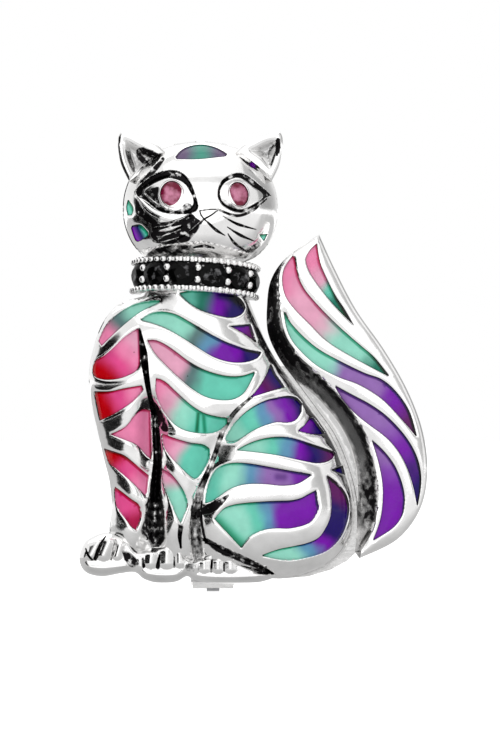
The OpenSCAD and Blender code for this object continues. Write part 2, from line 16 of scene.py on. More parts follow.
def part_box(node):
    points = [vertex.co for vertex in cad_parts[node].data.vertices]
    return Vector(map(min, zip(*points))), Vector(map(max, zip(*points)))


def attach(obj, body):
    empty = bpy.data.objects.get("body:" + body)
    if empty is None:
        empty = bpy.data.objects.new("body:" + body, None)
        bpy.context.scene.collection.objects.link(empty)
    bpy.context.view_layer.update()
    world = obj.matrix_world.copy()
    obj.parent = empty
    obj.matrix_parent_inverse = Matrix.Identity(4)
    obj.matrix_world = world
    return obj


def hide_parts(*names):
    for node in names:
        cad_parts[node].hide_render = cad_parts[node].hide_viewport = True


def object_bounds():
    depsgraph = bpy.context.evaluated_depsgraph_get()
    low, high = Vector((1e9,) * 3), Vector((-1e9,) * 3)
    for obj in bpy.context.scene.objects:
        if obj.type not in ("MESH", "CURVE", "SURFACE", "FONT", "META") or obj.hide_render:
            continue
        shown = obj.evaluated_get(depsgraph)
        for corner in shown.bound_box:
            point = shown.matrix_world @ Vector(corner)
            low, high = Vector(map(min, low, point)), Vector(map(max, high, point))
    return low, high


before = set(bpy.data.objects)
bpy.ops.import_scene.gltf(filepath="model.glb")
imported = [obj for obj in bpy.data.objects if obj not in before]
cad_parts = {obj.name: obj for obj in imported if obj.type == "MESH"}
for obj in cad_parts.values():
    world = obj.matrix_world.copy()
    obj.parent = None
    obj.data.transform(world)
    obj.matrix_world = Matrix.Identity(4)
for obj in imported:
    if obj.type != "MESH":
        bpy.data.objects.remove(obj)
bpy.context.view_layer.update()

MM = 0.001
RNG = np.random.default_rng(7)  # for the sizes of the collar's edge beads

# --- Driving sizes, as in the design ---

WALL = 1.0
BODY_DOME, BODY_ROUND = 4.0, 6.0  # how high a dome is, and how far in from the edge it rounds
HEAD_DOME, HEAD_ROUND = 5.4, 5.6
TAIL_RISE, TAIL_CROWN, TAIL_ROUND = 2.4, 0.6, 2.2
PLATE = -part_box("back_frame")[0].y / MM  # front of the back plate, where the castings begin
ENAMEL_LOW, ENAMEL_THICK = 0.3, 0.65  # how far the enamel lies below the silver, and its thickness

BODY_LEFT = [[-6.6, 15.4], [-6.9, 14.4], [-9.2, 13.7], [-10.9, 11.9], [-12.0, 9.0], [-12.4, 6.2],
             [-12.1, 3.5], [-11.5, 0.8], [-10.9, -1.8], [-10.3, -4.2], [-10.1, -6.8], [-10.3, -9.4],
             [-9.2, -11.8], [-5.2, -12.9], [-0.8, -13.5], [4.0, -13.9]]
BODY_RIGHT = [[3.0, 15.4], [3.6, 14.0], [4.3, 12.2], [5.2, 10.0], [6.3, 8.0], [7.9, 5.8], [9.9, 3.2],
              [11.9, 0.4], [13.2, -2.6], [14.0, -5.5], [14.1, -8.0], [13.4, -10.4], [11.6, -12.3],
              [8.2, -13.6], [4.0, -13.9]]
NECK_TOP = 20.0  # the body's dome runs on up to here, behind the collar
# Valleys between the forelegs, and between them and the haunch: (line, depth, half-width)
VALLEYS = [([[-6.0, 3.0], [-6.1, -2.0], [-5.8, -6.0], [-6.4, -11.0]], 2.2, 1.4),
           ([[1.4, 1.2], [-0.8, -3.4], [-1.6, -7.5], [-1.4, -12.0]], 1.2, 1.3)]

TAIL_RIGHT = [[10.6, 20.5], [12.2, 17.0], [14.3, 13.0], [17.1, 9.0], [19.4, 5.0], [20.9, 1.0],
              [21.4, -3.0], [20.7, -6.8], [18.4, -9.9], [14.6, -11.8]]
# The left edges of the tail's face and of its foot, with the bare side between them
TAIL_FACE = [[10.4, 20.4], [7.9, 18.7], [6.7, 17.0], [6.5, 14.5], [7.0, 11.0], [8.7, 8.2],
             [11.7, 5.4], [14.2, 2.3], [15.7, -1.0], [16.3, -5.0], [16.0, -8.6], [14.4, -11.6]]
TAIL_FOOT = [[10.2, 20.3], [7.3, 18.2], [5.8, 16.0], [5.4, 13.4], [5.5, 10.7], [6.6, 8.2],
             [8.2, 6.0], [10.2, 3.3], [12.1, 0.6], [13.4, -2.4], [14.2, -5.3], [14.4, -8.0],
             [14.2, -11.2]]

HEAD = np.array([-1.25, 23.5])
HEAD_SIDE = [[0, 6.4], [3.9, 5.7], [6.4, 3.7], [7.5, 1.5], [7.75, -0.7], [7.4, -2.6], [6.5, -4.3],
             [5.0, -5.5], [2.6, -6.1], [0, -6.2]]
# The ear's edges up to its tip. The inner one gives the tip twice, which makes it a little blunt
EAR_INNER = [[3.4, 5.2], [4.4, 6.1], [5.6, 6.6], [6.8, 7.0], [7.8, 7.3], [7.8, 7.3]]
EAR_OUTER = [[7.1, 2.3], [7.9, 4.0], [8.2, 5.6], [8.2, 6.7], [7.9, 7.3]]

# Colours of each enamel panel along its length, from its left or upper end
BODY_PANELS = {
    "shoulder": "rose slate mint mint",
    "upper_foreleg": "red hot rose pink",
    "mid_foreleg": "red hot rose",
    "elbow": "rose rose rose",
    "lower_foreleg": "red hot rose",
    "shin": "hot hot crimson",
    "second_elbow": "rose pink teal teal",
    "second_shin": "pink mint mint",
    "throat": "teal deep_teal violet ink",
    "nape": "violet plum",
    "upper_chest": "mint mint mint slate sky violet violet ink",
    "mid_chest": "pink pink pink slate teal teal teal",
    "lower_chest": "rose pink mint teal teal",
    "back": "violet plum ink",
    "hip": "mint mint teal teal sky lilac violet ink",
    "hip_notch": "violet ink",
    "thigh": "mint mint teal sky violet ink plum",
    "thigh_notch": "ink ink",
    "upper_haunch": "teal mint sky lilac lilac violet",
    "haunch": "mint mint teal sky violet violet violet",
    "rump": "mint mint sky violet ink ink plum"}
TAIL_PANELS = {
    "tail_tip": "rose pink teal deep_teal green",
    "upper_tail": "rose pink pink mint mint deep_teal",
    "mid_tail": "mint mint mint lilac lilac violet plum",
    "lower_tail": "lilac lilac violet ink",
    "tail_base": "lilac violet violet"}
HEAD_PANELS = {
    "crown": "mauve pine mauve",
    "temple": "violet violet",
    "cheek": "teal teal",
    "jowl": "violet ink teal",
    "right_cheek": "teal mint"}
COLOURS = {
    "pink": (0.68, 0.32, 0.45), "rose": (0.72, 0.205, 0.37), "hot": (0.64, 0.065, 0.23),
    "red": (0.40, 0.0, 0.003), "crimson": (0.36, 0.0, 0.05), "mint": (0.25, 0.60, 0.48),
    "teal": (0.11, 0.50, 0.38), "deep_teal": (0.0, 0.156, 0.102), "green": (0.0, 0.07, 0.02),
    "pine": (0.05, 0.27, 0.20), "sky": (0.09, 0.25, 0.40), "lilac": (0.25, 0.12, 0.38),
    "violet": (0.15, 0.0, 0.33), "ink": (0.008, 0.0, 0.10), "plum": (0.09, 0.003, 0.09),
    "mauve": (0.13, 0.09, 0.17), "slate": (0.08, 0.156, 0.156)}
# Panels whose colours don't run along their length, and the way [x, z] that they do
HEADINGS = {"jowl": [1.0, 0.5], "rump": [1.0, 0.9], "tail_tip": [0.8, -0.6]}


# --- Curves, distances and height maps ---

SAME_POINT = 0.2  # share of a step below which two points of an outline are one


def smooth(points, steps=8, closed=False):
    """Smooth curve through `points`, with `steps` places from each point to the next."""
    p = np.asarray(points, float)
    n = len(p)
    out = []
    for i in range(n if closed else n - 1):
        a, b, c, d = (p[k % n if closed else min(max(k, 0), n - 1)] for k in range(i - 1, i + 3))
        for t in np.arange(steps) / steps:
            out.append(0.5 * (2 * b + (c - a) * t + (2 * a - 5 * b + 4 * c - d) * t**2
                              + (3 * b - a - 3 * c + d) * t**3))
    if not closed:
        out.append(p[-1])
    return np.array(out)


def spaced(line, step):
    """The polyline `line` resampled at equal steps of about `step`."""
    length = np.concatenate([[0], np.cumsum(np.linalg.norm(np.diff(line, axis=0), axis=1))])
    count = max(2, int(round(length[-1] / step)))
    at = np.linspace(0, length[-1], count + 1)
    return np.stack([np.interp(at, length, line[:, k]) for k in range(line.shape[1])], 1)


def closed_outline(edge_a, edge_b, step=0.2):
    """Closed loop down edge_a and back up edge_b."""
    a, b = spaced(smooth(edge_a), step), spaced(smooth(edge_b), step)
    loop = np.concatenate([a, b[::-1]])
    apart = np.linalg.norm(loop - np.roll(loop, 1, axis=0), axis=1)
    return loop[apart > SAME_POINT * step]


def along_line(p, line):
    """Distance from each point of p to a polyline, and how far along it the nearest place is, 0 to 1."""
    a, b = line[:-1], line[1:]
    lengths = np.linalg.norm(b - a, axis=1)
    starts = np.concatenate([[0], np.cumsum(lengths)])
    best = np.full(len(p), np.inf)
    where = np.zeros(len(p))
    for k in range(len(a)):
        d = b[k] - a[k]
        t = np.clip((p - a[k]) @ d / max(d @ d, 1e-12), 0, 1)
        distance = np.linalg.norm(p - a[k] - t[:, None] * d, axis=1)
        closer = distance < best
        best[closer] = distance[closer]
        where[closer] = (starts[k] + t[closer] * lengths[k]) / starts[-1]
    return best, where


def segment_distance(p, line, closed=False):
    """Distance from each point of p to a polyline."""
    line = np.asarray(line, float)
    return along_line(p, np.concatenate([line, line[:1]]) if closed else line)[0]


def inside(p, loops):
    """True for each point of p within an odd number of the loops."""
    result = np.zeros(len(p), bool)
    x, z = p[:, 0], p[:, 1]
    for loop in loops:
        low, high = loop.min(0), loop.max(0)
        near = (x >= low[0]) & (x <= high[0]) & (z >= low[1]) & (z <= high[1])
        px, pz = x[near], z[near]
        flips = np.zeros(len(px), bool)
        for (x0, z0), (x1, z1) in zip(loop, np.roll(loop, -1, axis=0)):
            crosses = (z0 > pz) != (z1 > pz)
            if crosses.any():
                flips ^= crosses & (px < (x1 - x0) * (pz - z0) / (z1 - z0 + 1e-15) + x0)
        result[near] ^= flips
    return result


class EdgeDistance:
    """Signed distance in from an outline, smoothed so that a dome built on it has no ridge."""

    STEP, MARGIN, BLUR = 0.25, 3.0, 1.1

    def __init__(self, outline):
        self.low = outline.min(0) - self.MARGIN
        size = np.ceil((outline.max(0) + self.MARGIN - self.low) / self.STEP).astype(int) + 1
        xs = self.low[0] + self.STEP * np.arange(size[0])
        zs = self.low[1] + self.STEP * np.arange(size[1])
        grid = np.stack(np.meshgrid(xs, zs, indexing="ij"), -1).reshape(-1, 2)
        d = segment_distance(grid, outline, closed=True)
        d = np.where(inside(grid, [outline]), d, -d).reshape(size)
        for _ in range(int(2 * (self.BLUR / self.STEP) ** 2)):
            d[1:-1] = 0.25 * d[:-2] + 0.5 * d[1:-1] + 0.25 * d[2:]
            d[:, 1:-1] = 0.25 * d[:, :-2] + 0.5 * d[:, 1:-1] + 0.25 * d[:, 2:]
        self.grid = d

    def __call__(self, p):
        u = (p - self.low) / self.STEP
        i = np.clip(u.astype(int), 0, np.array(self.grid.shape) - 2)
        f = np.clip(u - i, 0, 1)
        g, x, z = self.grid, i[:, 0], i[:, 1]
        near = g[x, z] * (1 - f[:, 0]) + g[x + 1, z] * f[:, 0]
        far = g[x, z + 1] * (1 - f[:, 0]) + g[x + 1, z + 1] * f[:, 0]
        return near * (1 - f[:, 1]) + far * f[:, 1]


def rounded(d, r):
    """Quarter-round profile: 0 at d = 0, 1 from d = r on."""
    u = 1 - np.clip(d / r, 0, 1)
    return np.sqrt(1 - u * u)


def on_head(points, side):
    """Points [x, z] from the head's middle, on its left for side -1 and its right for 1."""
    return [HEAD + [side * x, z] for x, z in points]


body_outline = closed_outline(BODY_LEFT, BODY_RIGHT)
body_form = np.concatenate([[[-6.6, NECK_TOP]], body_outline, [[3.0, NECK_TOP]]])
head_outline = closed_outline(on_head(HEAD_SIDE, -1), on_head(HEAD_SIDE, 1))
tail_outline = closed_outline(TAIL_FOOT, TAIL_RIGHT)
tail_face = closed_outline(TAIL_FACE, TAIL_RIGHT)
body_depth = EdgeDistance(body_form)
head_depth = EdgeDistance(head_outline)


def body_rise(p):
    """Height of the body's front: a dome with valleys between the legs."""
    dome = rounded(body_depth(p), BODY_ROUND)
    for line, depth, width in VALLEYS:
        valley = np.exp(-((segment_distance(p, smooth(line)) / width) ** 2))
        dome = dome * (1 - depth / BODY_DOME * valley)
    return WALL + BODY_DOME * dome


ON_EDGE = 0.05  # a point this near the tail's right edge is on it
FOOT_SHARE, FOOT_WIDTH, FOOT_CURVE, FOOT_LIFT = 0.12, 1.7, 1.6, 0.3  # how the side rises from its foot
BANK_FALL, BANK_WIDTH, BANK_CURVE = 0.75, 1.8, 0.8  # how it falls from the edge of the face


def on_tail_face(p):
    """True for each point on the tail's face, its right edge included."""
    return inside(p, [tail_face]) | (segment_distance(p, smooth(TAIL_RIGHT)) < ON_EDGE)


def tail_rise(p):
    """Crowned face, and the bare side that falls from it to the tail's foot."""
    from_foot = np.clip(segment_distance(p, smooth(TAIL_FOOT)) / FOOT_WIDTH, 0, 1)
    slope = FOOT_SHARE + (1 - FOOT_SHARE) * from_foot ** FOOT_CURVE
    on_face = on_tail_face(p)
    from_edge = segment_distance(p, tail_face, closed=True)
    crown = np.where(on_face, TAIL_CROWN * rounded(from_edge, TAIL_ROUND), 0)
    bank = TAIL_RISE * (1 - BANK_FALL * np.clip(from_edge / BANK_WIDTH, 0, 1) ** BANK_CURVE)
    return np.where(on_face, TAIL_RISE + crown, np.minimum(bank, TAIL_RISE * slope + FOOT_LIFT))


MUZZLE = np.array([-0.87, 20.9])
MUZZLE_RISE, MUZZLE_RADIUS = 0.65, 2.0


def head_rise(p):
    """Height of the face before it is engraved: a dome with a muzzle."""
    dome = HEAD_DOME * rounded(head_depth(p), HEAD_ROUND)
    muzzle = MUZZLE_RISE * np.exp(-((np.linalg.norm(p - MUZZLE, axis=1) / MUZZLE_RADIUS) ** 2))
    return WALL + dome + muzzle


# --- Meshes ---

def added(name, data, place=(0, 0, 0)):
    """New object in the scene, at a place in millimetres."""
    obj = bpy.data.objects.new(name, data)
    obj.location = [c * MM for c in place]
    bpy.context.scene.collection.objects.link(obj)
    return obj


def new_piece(name, verts, faces, angle=35):
    """Mesh object from millimetre vertices, with edges sharper than `angle` degrees left sharp."""
    mesh = bpy.data.meshes.new(name)
    mesh.from_pydata((np.asarray(verts) * MM).tolist(), [], [list(f) for f in faces])
    mesh.validate()
    mesh.update()
    mesh.shade_smooth()
    mesh.set_sharp_from_angle(angle=math.radians(angle))
    obj = added(name, mesh)
    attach(obj, "brooch")
    return obj


def add_values(obj, name, values):
    """Stores a number for each vertex, 0 past the last of the values, which materials read by name."""
    padded = np.zeros(len(obj.data.vertices), np.float32)
    padded[:len(values)] = values
    obj.data.attributes.new(name, "FLOAT", "POINT").data.foreach_set("value", padded)


TREE_STEP = 0.03
ROW_HEIGHT = 0.866  # of a triangle with equal sides
CLEAR_OF_RINGS = 0.4  # share of the spacing kept free between the rings and the rows
OFF_RING = 0.93  # a ring's point nearer an edge than this share of its distance is left out
WALL_ROWS = 3  # quads in a side wall, from front to back


def offset_points(loop, distance):
    """Points beside each point of a loop, `distance` to both sides."""
    tangent = np.roll(loop, -1, axis=0) - np.roll(loop, 1, axis=0)
    normal = np.stack([-tangent[:, 1], tangent[:, 0]], 1)
    normal /= np.maximum(np.linalg.norm(normal, axis=1, keepdims=True), 1e-9)
    return np.concatenate([loop + normal * distance, loop - normal * distance])


def tree_of(loops):
    """Search tree of places all along the loops."""
    points = np.concatenate([spaced(np.concatenate([loop, loop[:1]]), TREE_STEP) for loop in loops])
    tree = kdtree.KDTree(len(points))
    for i, (x, z) in enumerate(points):
        tree.insert((x, z, 0), i)
    tree.balance()
    return tree


def nearest(tree, p):
    """Distance from each point of p to the nearest place in the tree."""
    return np.array([tree.find((x, z, 0))[2] for x, z in p])


def flat_mesh(outline, holes, spacing, rings, extra=None):
    """Triangles filling an outline around its holes: denser by the edges, at the distances `rings`.

    Returns vertices, faces and each vertex's distance from the edges.
    """
    loops = [outline] + holes
    tree = tree_of(loops)
    low, high = outline.min(0), outline.max(0)
    rows = []
    for i, z in enumerate(np.arange(low[1], high[1], spacing * ROW_HEIGHT)):
        xs = np.arange(low[0] + (i % 2) * spacing / 2, high[0], spacing)
        rows.append(np.stack([xs, np.full(len(xs), z)], 1))
    grid = np.concatenate(rows)
    grid = grid[inside(grid, loops)]
    chosen = [grid[nearest(tree, grid) > max(rings) + CLEAR_OF_RINGS * spacing]]
    for r in rings:
        ring = np.concatenate([offset_points(loop, r) for loop in loops])
        ring = ring[inside(ring, loops)]
        chosen.append(ring[nearest(tree, ring) > OFF_RING * r])
    if extra is not None:
        chosen.append(extra)
    points = np.concatenate(loops + chosen)
    edges = []
    start = 0
    for loop in loops:
        edges += [(start + i, start + (i + 1) % len(loop)) for i in range(len(loop))]
        start += len(loop)
    verts, _, faces, *_ = delaunay_2d_cdt([Vector(p) for p in points], edges, [], 0, 1e-5)
    verts = np.array([v[:] for v in verts])
    faces = np.array(faces)
    faces = faces[inside(verts[faces].mean(1), loops)]
    used = np.unique(faces)
    index = np.full(len(verts), -1)
    index[used] = np.arange(len(used))
    verts, faces = verts[used], index[faces]
    return verts, faces, nearest(tree, verts)


def thick(name, flat, front, back, lean=None):
    """Closed solid between two heights over a flat mesh: its front, its back and its side walls.

    `lean` is how far each vertex's wall bulges sideways between its front and its back.
    """
    verts, faces, edge = flat
    a, b, c = (verts[faces[:, k]] for k in range(3))
    turn = (b[:, 0] - a[:, 0]) * (c[:, 1] - a[:, 1]) - (b[:, 1] - a[:, 1]) * (c[:, 0] - a[:, 0])
    faces = np.where((turn > 0)[:, None], faces, faces[:, ::-1])
    n = len(verts)
    directed = {(int(f[i]), int(f[(i + 1) % 3])) for f in faces for i in range(3)}
    rim = [(i, j) for i, j in directed if (j, i) not in directed]
    rim_ids = sorted({i for pair in rim for i in pair})
    fronts, backs = (np.stack([verts[:, 0], -PLATE - rise + 0 * edge, verts[:, 1]], 1)
                     for rise in (front, back))
    bulge = np.zeros((len(rim_ids), 3))
    if lean is not None:
        bulge[:, [0, 2]] = lean[rim_ids]
    rows = [fronts[rim_ids] * (1 - t) + backs[rim_ids] * t + bulge
            for t in np.arange(1, WALL_ROWS) / WALL_ROWS]
    column = {i: [i] + [2 * n + k * len(rim_ids) + slot for k in range(WALL_ROWS - 1)] + [n + i]
              for slot, i in enumerate(rim_ids)}
    quads = [(column[j][k], column[i][k], column[i][k + 1], column[j][k + 1])
             for i, j in rim for k in range(WALL_ROWS)]
    all_faces = [tuple(f) for f in faces] + [tuple(f + n) for f in faces[:, ::-1]] + quads
    obj = new_piece(name, np.concatenate([fronts, backs] + rows), all_faces)
    add_values(obj, "edge", np.concatenate([edge, edge]))
    return obj


SIDE_WALL = 0.02  # most that a side wall's normal may point to the front or back
OUTLINE_STEP = 0.14
CORNER = 50  # degrees of turn past which a corner of an outline stays sharp


def panel_outline(name):
    """Outline of an enamel panel, from the side walls of its CAD solid."""
    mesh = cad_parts["enamel_" + name].data
    steps = {}
    for poly in mesh.polygons:
        if abs(poly.normal.y) > SIDE_WALL:
            continue
        flat = [tuple(round(mesh.vertices[i].co[k] / MM, 4) for k in (0, 2)) for i in poly.vertices]
        for a, b in zip(flat, flat[1:] + flat[:1]):
            if a != b:
                steps.setdefault(a, set()).add(b)
                steps.setdefault(b, set()).add(a)
    start = min(steps)
    loop, last = [start], None
    while True:
        ahead = [q for q in steps[loop[-1]] if q != last]
        last = loop[-1]
        if not ahead or ahead[0] == start or len(loop) > len(steps):
            break
        loop.append(ahead[0])
    return softened(np.array(loop))


def softened(loop):
    """Smooth closed loop through the outline's points, which keeps its sharp corners."""
    ahead = np.roll(loop, -1, axis=0) - loop
    heading = np.arctan2(ahead[:, 1], ahead[:, 0])
    turn = np.degrees(np.abs(np.angle(np.exp(1j * (heading - np.roll(heading, 1))))))
    corners = [i for i in range(len(loop)) if turn[i] > CORNER]
    if len(corners) < 2:
        return spaced(smooth(loop, closed=True), OUTLINE_STEP)[:-1]
    parts = []
    for k, i in enumerate(corners):
        count = (corners[(k + 1) % len(corners)] - i) % len(loop)
        stretch = np.array([loop[(i + m) % len(loop)] for m in range(count + 1)])
        parts.append(spaced(smooth(stretch), OUTLINE_STEP)[:-1] if count > 1 else stretch[:1])
    return np.concatenate(parts)


DARK_EDGE = 2.5  # how much sharper a mark's darkness ends than its depth
MARK_SIDES = (-1.1, -0.75, 0, 0.75, 1.1)  # extra mesh points across a mark, in half-widths


def cut_by(p, marks):
    """Depth that the marks cut into a surface, and how dark they leave it.

    Each mark is [points along it, half-widths along it, depth, darkness].
    """
    depth, dark = np.zeros(len(p)), np.zeros(len(p))
    for line, widths, deep, shade in marks:
        distance, where = along_line(p, smooth(line, 6))
        half = np.interp(where, np.linspace(0, 1, len(widths)), widths)
        share = np.clip(1 - (distance / half) ** 2, 0, 1)
        depth = depth + deep * share
        dark = np.maximum(dark, shade * np.clip(DARK_EDGE * share, 0, 1))
    return depth, dark


def points_by(marks, step=0.11):
    """Extra points beside each mark, so that the mesh follows its edges."""
    chosen = []
    for line, widths, _, _ in marks:
        path = spaced(smooth(line, 6), step)
        tangent = np.gradient(path, axis=0)
        normal = np.stack([-tangent[:, 1], tangent[:, 0]], 1)
        normal /= np.linalg.norm(normal, axis=1, keepdims=True)
        half = np.interp(np.linspace(0, 1, len(path)), np.linspace(0, 1, len(widths)), widths)
        chosen += [path + normal * (side * half)[:, None] for side in MARK_SIDES]
    return np.concatenate(chosen)


# --- Materials ---

def set_inputs(made, inputs):
    """Links each input of a node to the socket given for it, or sets its number or colour."""
    for key, value in inputs.items():
        if isinstance(value, bpy.types.NodeSocket):
            made.id_data.links.new(value, made.inputs[key])
        else:
            made.inputs[key].default_value = value


def node(tree, kind, inputs=None, **settings):
    """New shader node with its settings and inputs."""
    made = tree.nodes.new("ShaderNode" + kind)
    for key, value in settings.items():
        setattr(made, key, value)
    set_inputs(made, inputs or {})
    return made


def blended(tree, amount, low, high):
    """Colour between two colours or sockets."""
    return node(tree, "Mix", {0: amount, 6: low, 7: high}, data_type="RGBA").outputs[2]


def scaled(tree, value, from_low, from_high, to_low, to_high):
    """A number mapped, with clamping, from one range to another."""
    return node(tree, "MapRange", {"Value": value, "From Min": from_low, "From Max": from_high,
                                   "To Min": to_low, "To Max": to_high}).outputs[0]


def calculated(tree, operation, a, b):
    return node(tree, "Math", {0: a, 1: b}, operation=operation).outputs[0]


def stored(tree, name):
    """A number stored on the mesh by add_values."""
    return node(tree, "Attribute", attribute_name=name).outputs["Fac"]


def new_material(name):
    """A material, its node tree, its shader and its place in the object's own axes."""
    made = bpy.data.materials.new(name)
    made.use_nodes = True
    tree = made.node_tree
    return made, tree, tree.nodes["Principled BSDF"], node(tree, "TexCoord").outputs["Object"]


def noise(tree, place, scale, detail=3.0):
    return node(tree, "TexNoise", {"Vector": place, "Scale": scale, "Detail": detail}).outputs["Fac"]


def metal(name, colour, roughness, relief, stretch=(1, 1, 1)):
    """Metal with a faintly uneven polish, flecked black by a stored number (patina in its cuts, painted
    shade and painted reflection elsewhere) and greyed by the stored `shade` (painted shade and
    reflection).
    """
    made, tree, shader, place = new_material(name)
    place = node(tree, "Mapping", {"Vector": place, "Scale": stretch}).outputs[0]
    broad = noise(tree, place, 450.0)
    fine = noise(tree, place, 4200.0, 4.0)
    flecks = scaled(tree, noise(tree, place, 1500.0, 4.0), 0.32, 0.68, 0.25, 1.6)
    # stored black: patina in cuts, and painted shade and painted reflection elsewhere
    flecked = calculated(tree, "MULTIPLY", stored(tree, "oxide_and_shade"), flecks)
    oxide_and_shade = scaled(tree, flecked, 0.2, 0.65, 0.0, 1.0)
    worn = scaled(tree, broad, 0.35, 0.7, 0.0, 1.0)
    toned = blended(tree, worn, (*colour, 1), (*[c * 0.88 for c in colour], 1))
    # stored grey: painted shade and painted reflection
    shaded = blended(tree, stored(tree, "shade"), toned, (0.02, 0.02, 0.021, 1))
    gloss = scaled(tree, fine, 0.3, 0.7, roughness * 0.75, roughness * 1.35)
    height = calculated(tree, "ADD", broad, calculated(tree, "MULTIPLY", fine, 0.12))
    bump = node(tree, "Bump", {"Height": height, "Strength": 1.0, "Distance": relief * MM})
    set_inputs(shader, {
        "Base Color": blended(tree, oxide_and_shade, shaded, (0.012, 0.011, 0.012, 1)),
        "Roughness": blended(tree, oxide_and_shade, gloss, (0.42, 0.42, 0.42, 1)),
        "Normal": bump.outputs[0],
        "Metallic": 1.0})
    return made


def enamel(words):
    """See-through enamel that shades through the named colours along a panel, with painted shade by the
    silver round it.
    """
    stops = words.split()
    name = "_".join(["enamel"] + stops)
    if name in bpy.data.materials:
        return bpy.data.materials[name]
    made, tree, shader, place = new_material(name)
    drift = noise(tree, place, 260.0, 2.0)
    along = calculated(tree, "ADD", stored(tree, "along"), scaled(tree, drift, 0.2, 0.8, -0.09, 0.09))
    ramp = node(tree, "ValToRGB", {"Fac": along})
    ramp.color_ramp.interpolation = "EASE"
    ramp.color_ramp.elements.remove(ramp.color_ramp.elements[1])
    for k, word in enumerate(stops):
        at = (k + 0.5) / len(stops)
        stop = ramp.color_ramp.elements[0] if k == 0 else ramp.color_ramp.elements.new(at)
        stop.position = at
        stop.color = (*COLOURS[word], 1)
    # painted shadow of the silver round the panel, and the pools, darken and saturate the colour
    shadow_darkening = scaled(tree, stored(tree, "shadow"), 0.0, 1.0, 1.0, 3.2)
    deep = node(tree, "Gamma", {"Color": ramp.outputs[0], "Gamma": shadow_darkening}).outputs[0]
    cloudy = scaled(tree, noise(tree, place, 800.0, 3.0), 0.3, 0.7, 0.92, 1.06)
    # painted shade by the silver edges
    edge = scaled(tree, stored(tree, "edge"), 0.02, 0.12, 0.35, 1.0)
    cells = node(tree, "TexVoronoi", {"Vector": place, "Scale": 620.0}).outputs["Distance"]
    specks = scaled(tree, cells, 0.03, 0.055, 0.25, 1.0)
    shade = calculated(tree, "MULTIPLY", calculated(tree, "MULTIPLY", cloudy, edge), specks)
    bump = node(tree, "Bump", {"Height": drift, "Strength": 0.6, "Distance": 0.05 * MM})
    set_inputs(shader, {
        "Base Color": node(tree, "VectorMath", {0: deep, 1: shade}, operation="MULTIPLY").outputs[0],
        "Roughness": scaled(tree, cloudy, 0.92, 1.06, 0.08, 0.14),
        "Normal": bump.outputs[0],
        "Transmission Weight": 0.12,
        "IOR": 1.5,
        "Specular IOR Level": 0.2})
    return made


def gem(name, colour, deep, ior, clear, girdle_shade_range):
    """Cut stone, cloudy at random, painted lighter in the middle and darker towards its girdle as the
    light and shade of its cut.
    """
    made, tree, shader, place = new_material(name)
    cloud = scaled(tree, noise(tree, place, 1200.0, 3.0), 0.3, 0.7, -0.4, 0.4)
    depth = scaled(tree, calculated(tree, "ADD", stored(tree, "rim"), cloud), *girdle_shade_range, 0.0, 1.0)
    set_inputs(shader, {
        "Base Color": blended(tree, depth, (*colour, 1), (*deep, 1)),
        "Roughness": scaled(tree, cloud, -0.4, 0.4, 0.02, 0.08),
        "Transmission Weight": clear,
        "IOR": ior,
        "Specular IOR Level": 0.4})
    return made


silver = metal("polished_silver", (0.93, 0.925, 0.92), 0.13, 0.02)
satin = metal("satin_silver", (0.7, 0.695, 0.69), 0.3, 0.03, (1, 1, 4))
steel = metal("drawn_steel", (0.34, 0.34, 0.35), 0.22, 0.01, (6, 6, 0.5))
# the stones' painted light and shade: lighter middles, darker girdles
red_gem = gem("red_stone", (0.48, 0.17, 0.27), (0.13, 0.0, 0.02), 1.5, 0.1, (0.3, 0.95))
black_gem = gem("black_stone", (0.12, 0.12, 0.125), (0.001, 0.001, 0.001), 1.2, 0.0, (0.2, 0.55))


def stands_for(obj, node_name, material):
    """Shows the piece in place of a CAD node, with a material."""
    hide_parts(node_name)
    obj.data.materials.append(material)


# --- Body and tail castings ---

LIP, LIP_WIDTH = 0.16, 0.4  # how far a bar stands proud of its edges
# Distances between the points of each mesh, and from its edges to the rings of points beside them
BODY_MESH, TAIL_MESH, HEAD_MESH, EAR_MESH, PAW_MESH = 0.34, 0.3, 0.11, 0.13, 0.1
RINGS, EAR_RINGS, PAW_RINGS = (0.06, 0.15, 0.28, 0.42), (0.04, 0.1, 0.2, 0.32), (0.04, 0.1, 0.18)
BESIDE_CUT, CUT_SLOPE = 0.2, 1.5  # deepest cut at the edge of an opening, and how it deepens from there
BACK_CUT = 0.6  # deepest that a cut shows behind
# How far an opening's walls lean, as a share of the slope taken over a distance, and the most they do
LEAN, LEAN_STEP, MOST_LEAN = 0.4, 0.1, 0.4
# painted grey shade on the side walls of the body's openings
WALL_SHADE = 0.45

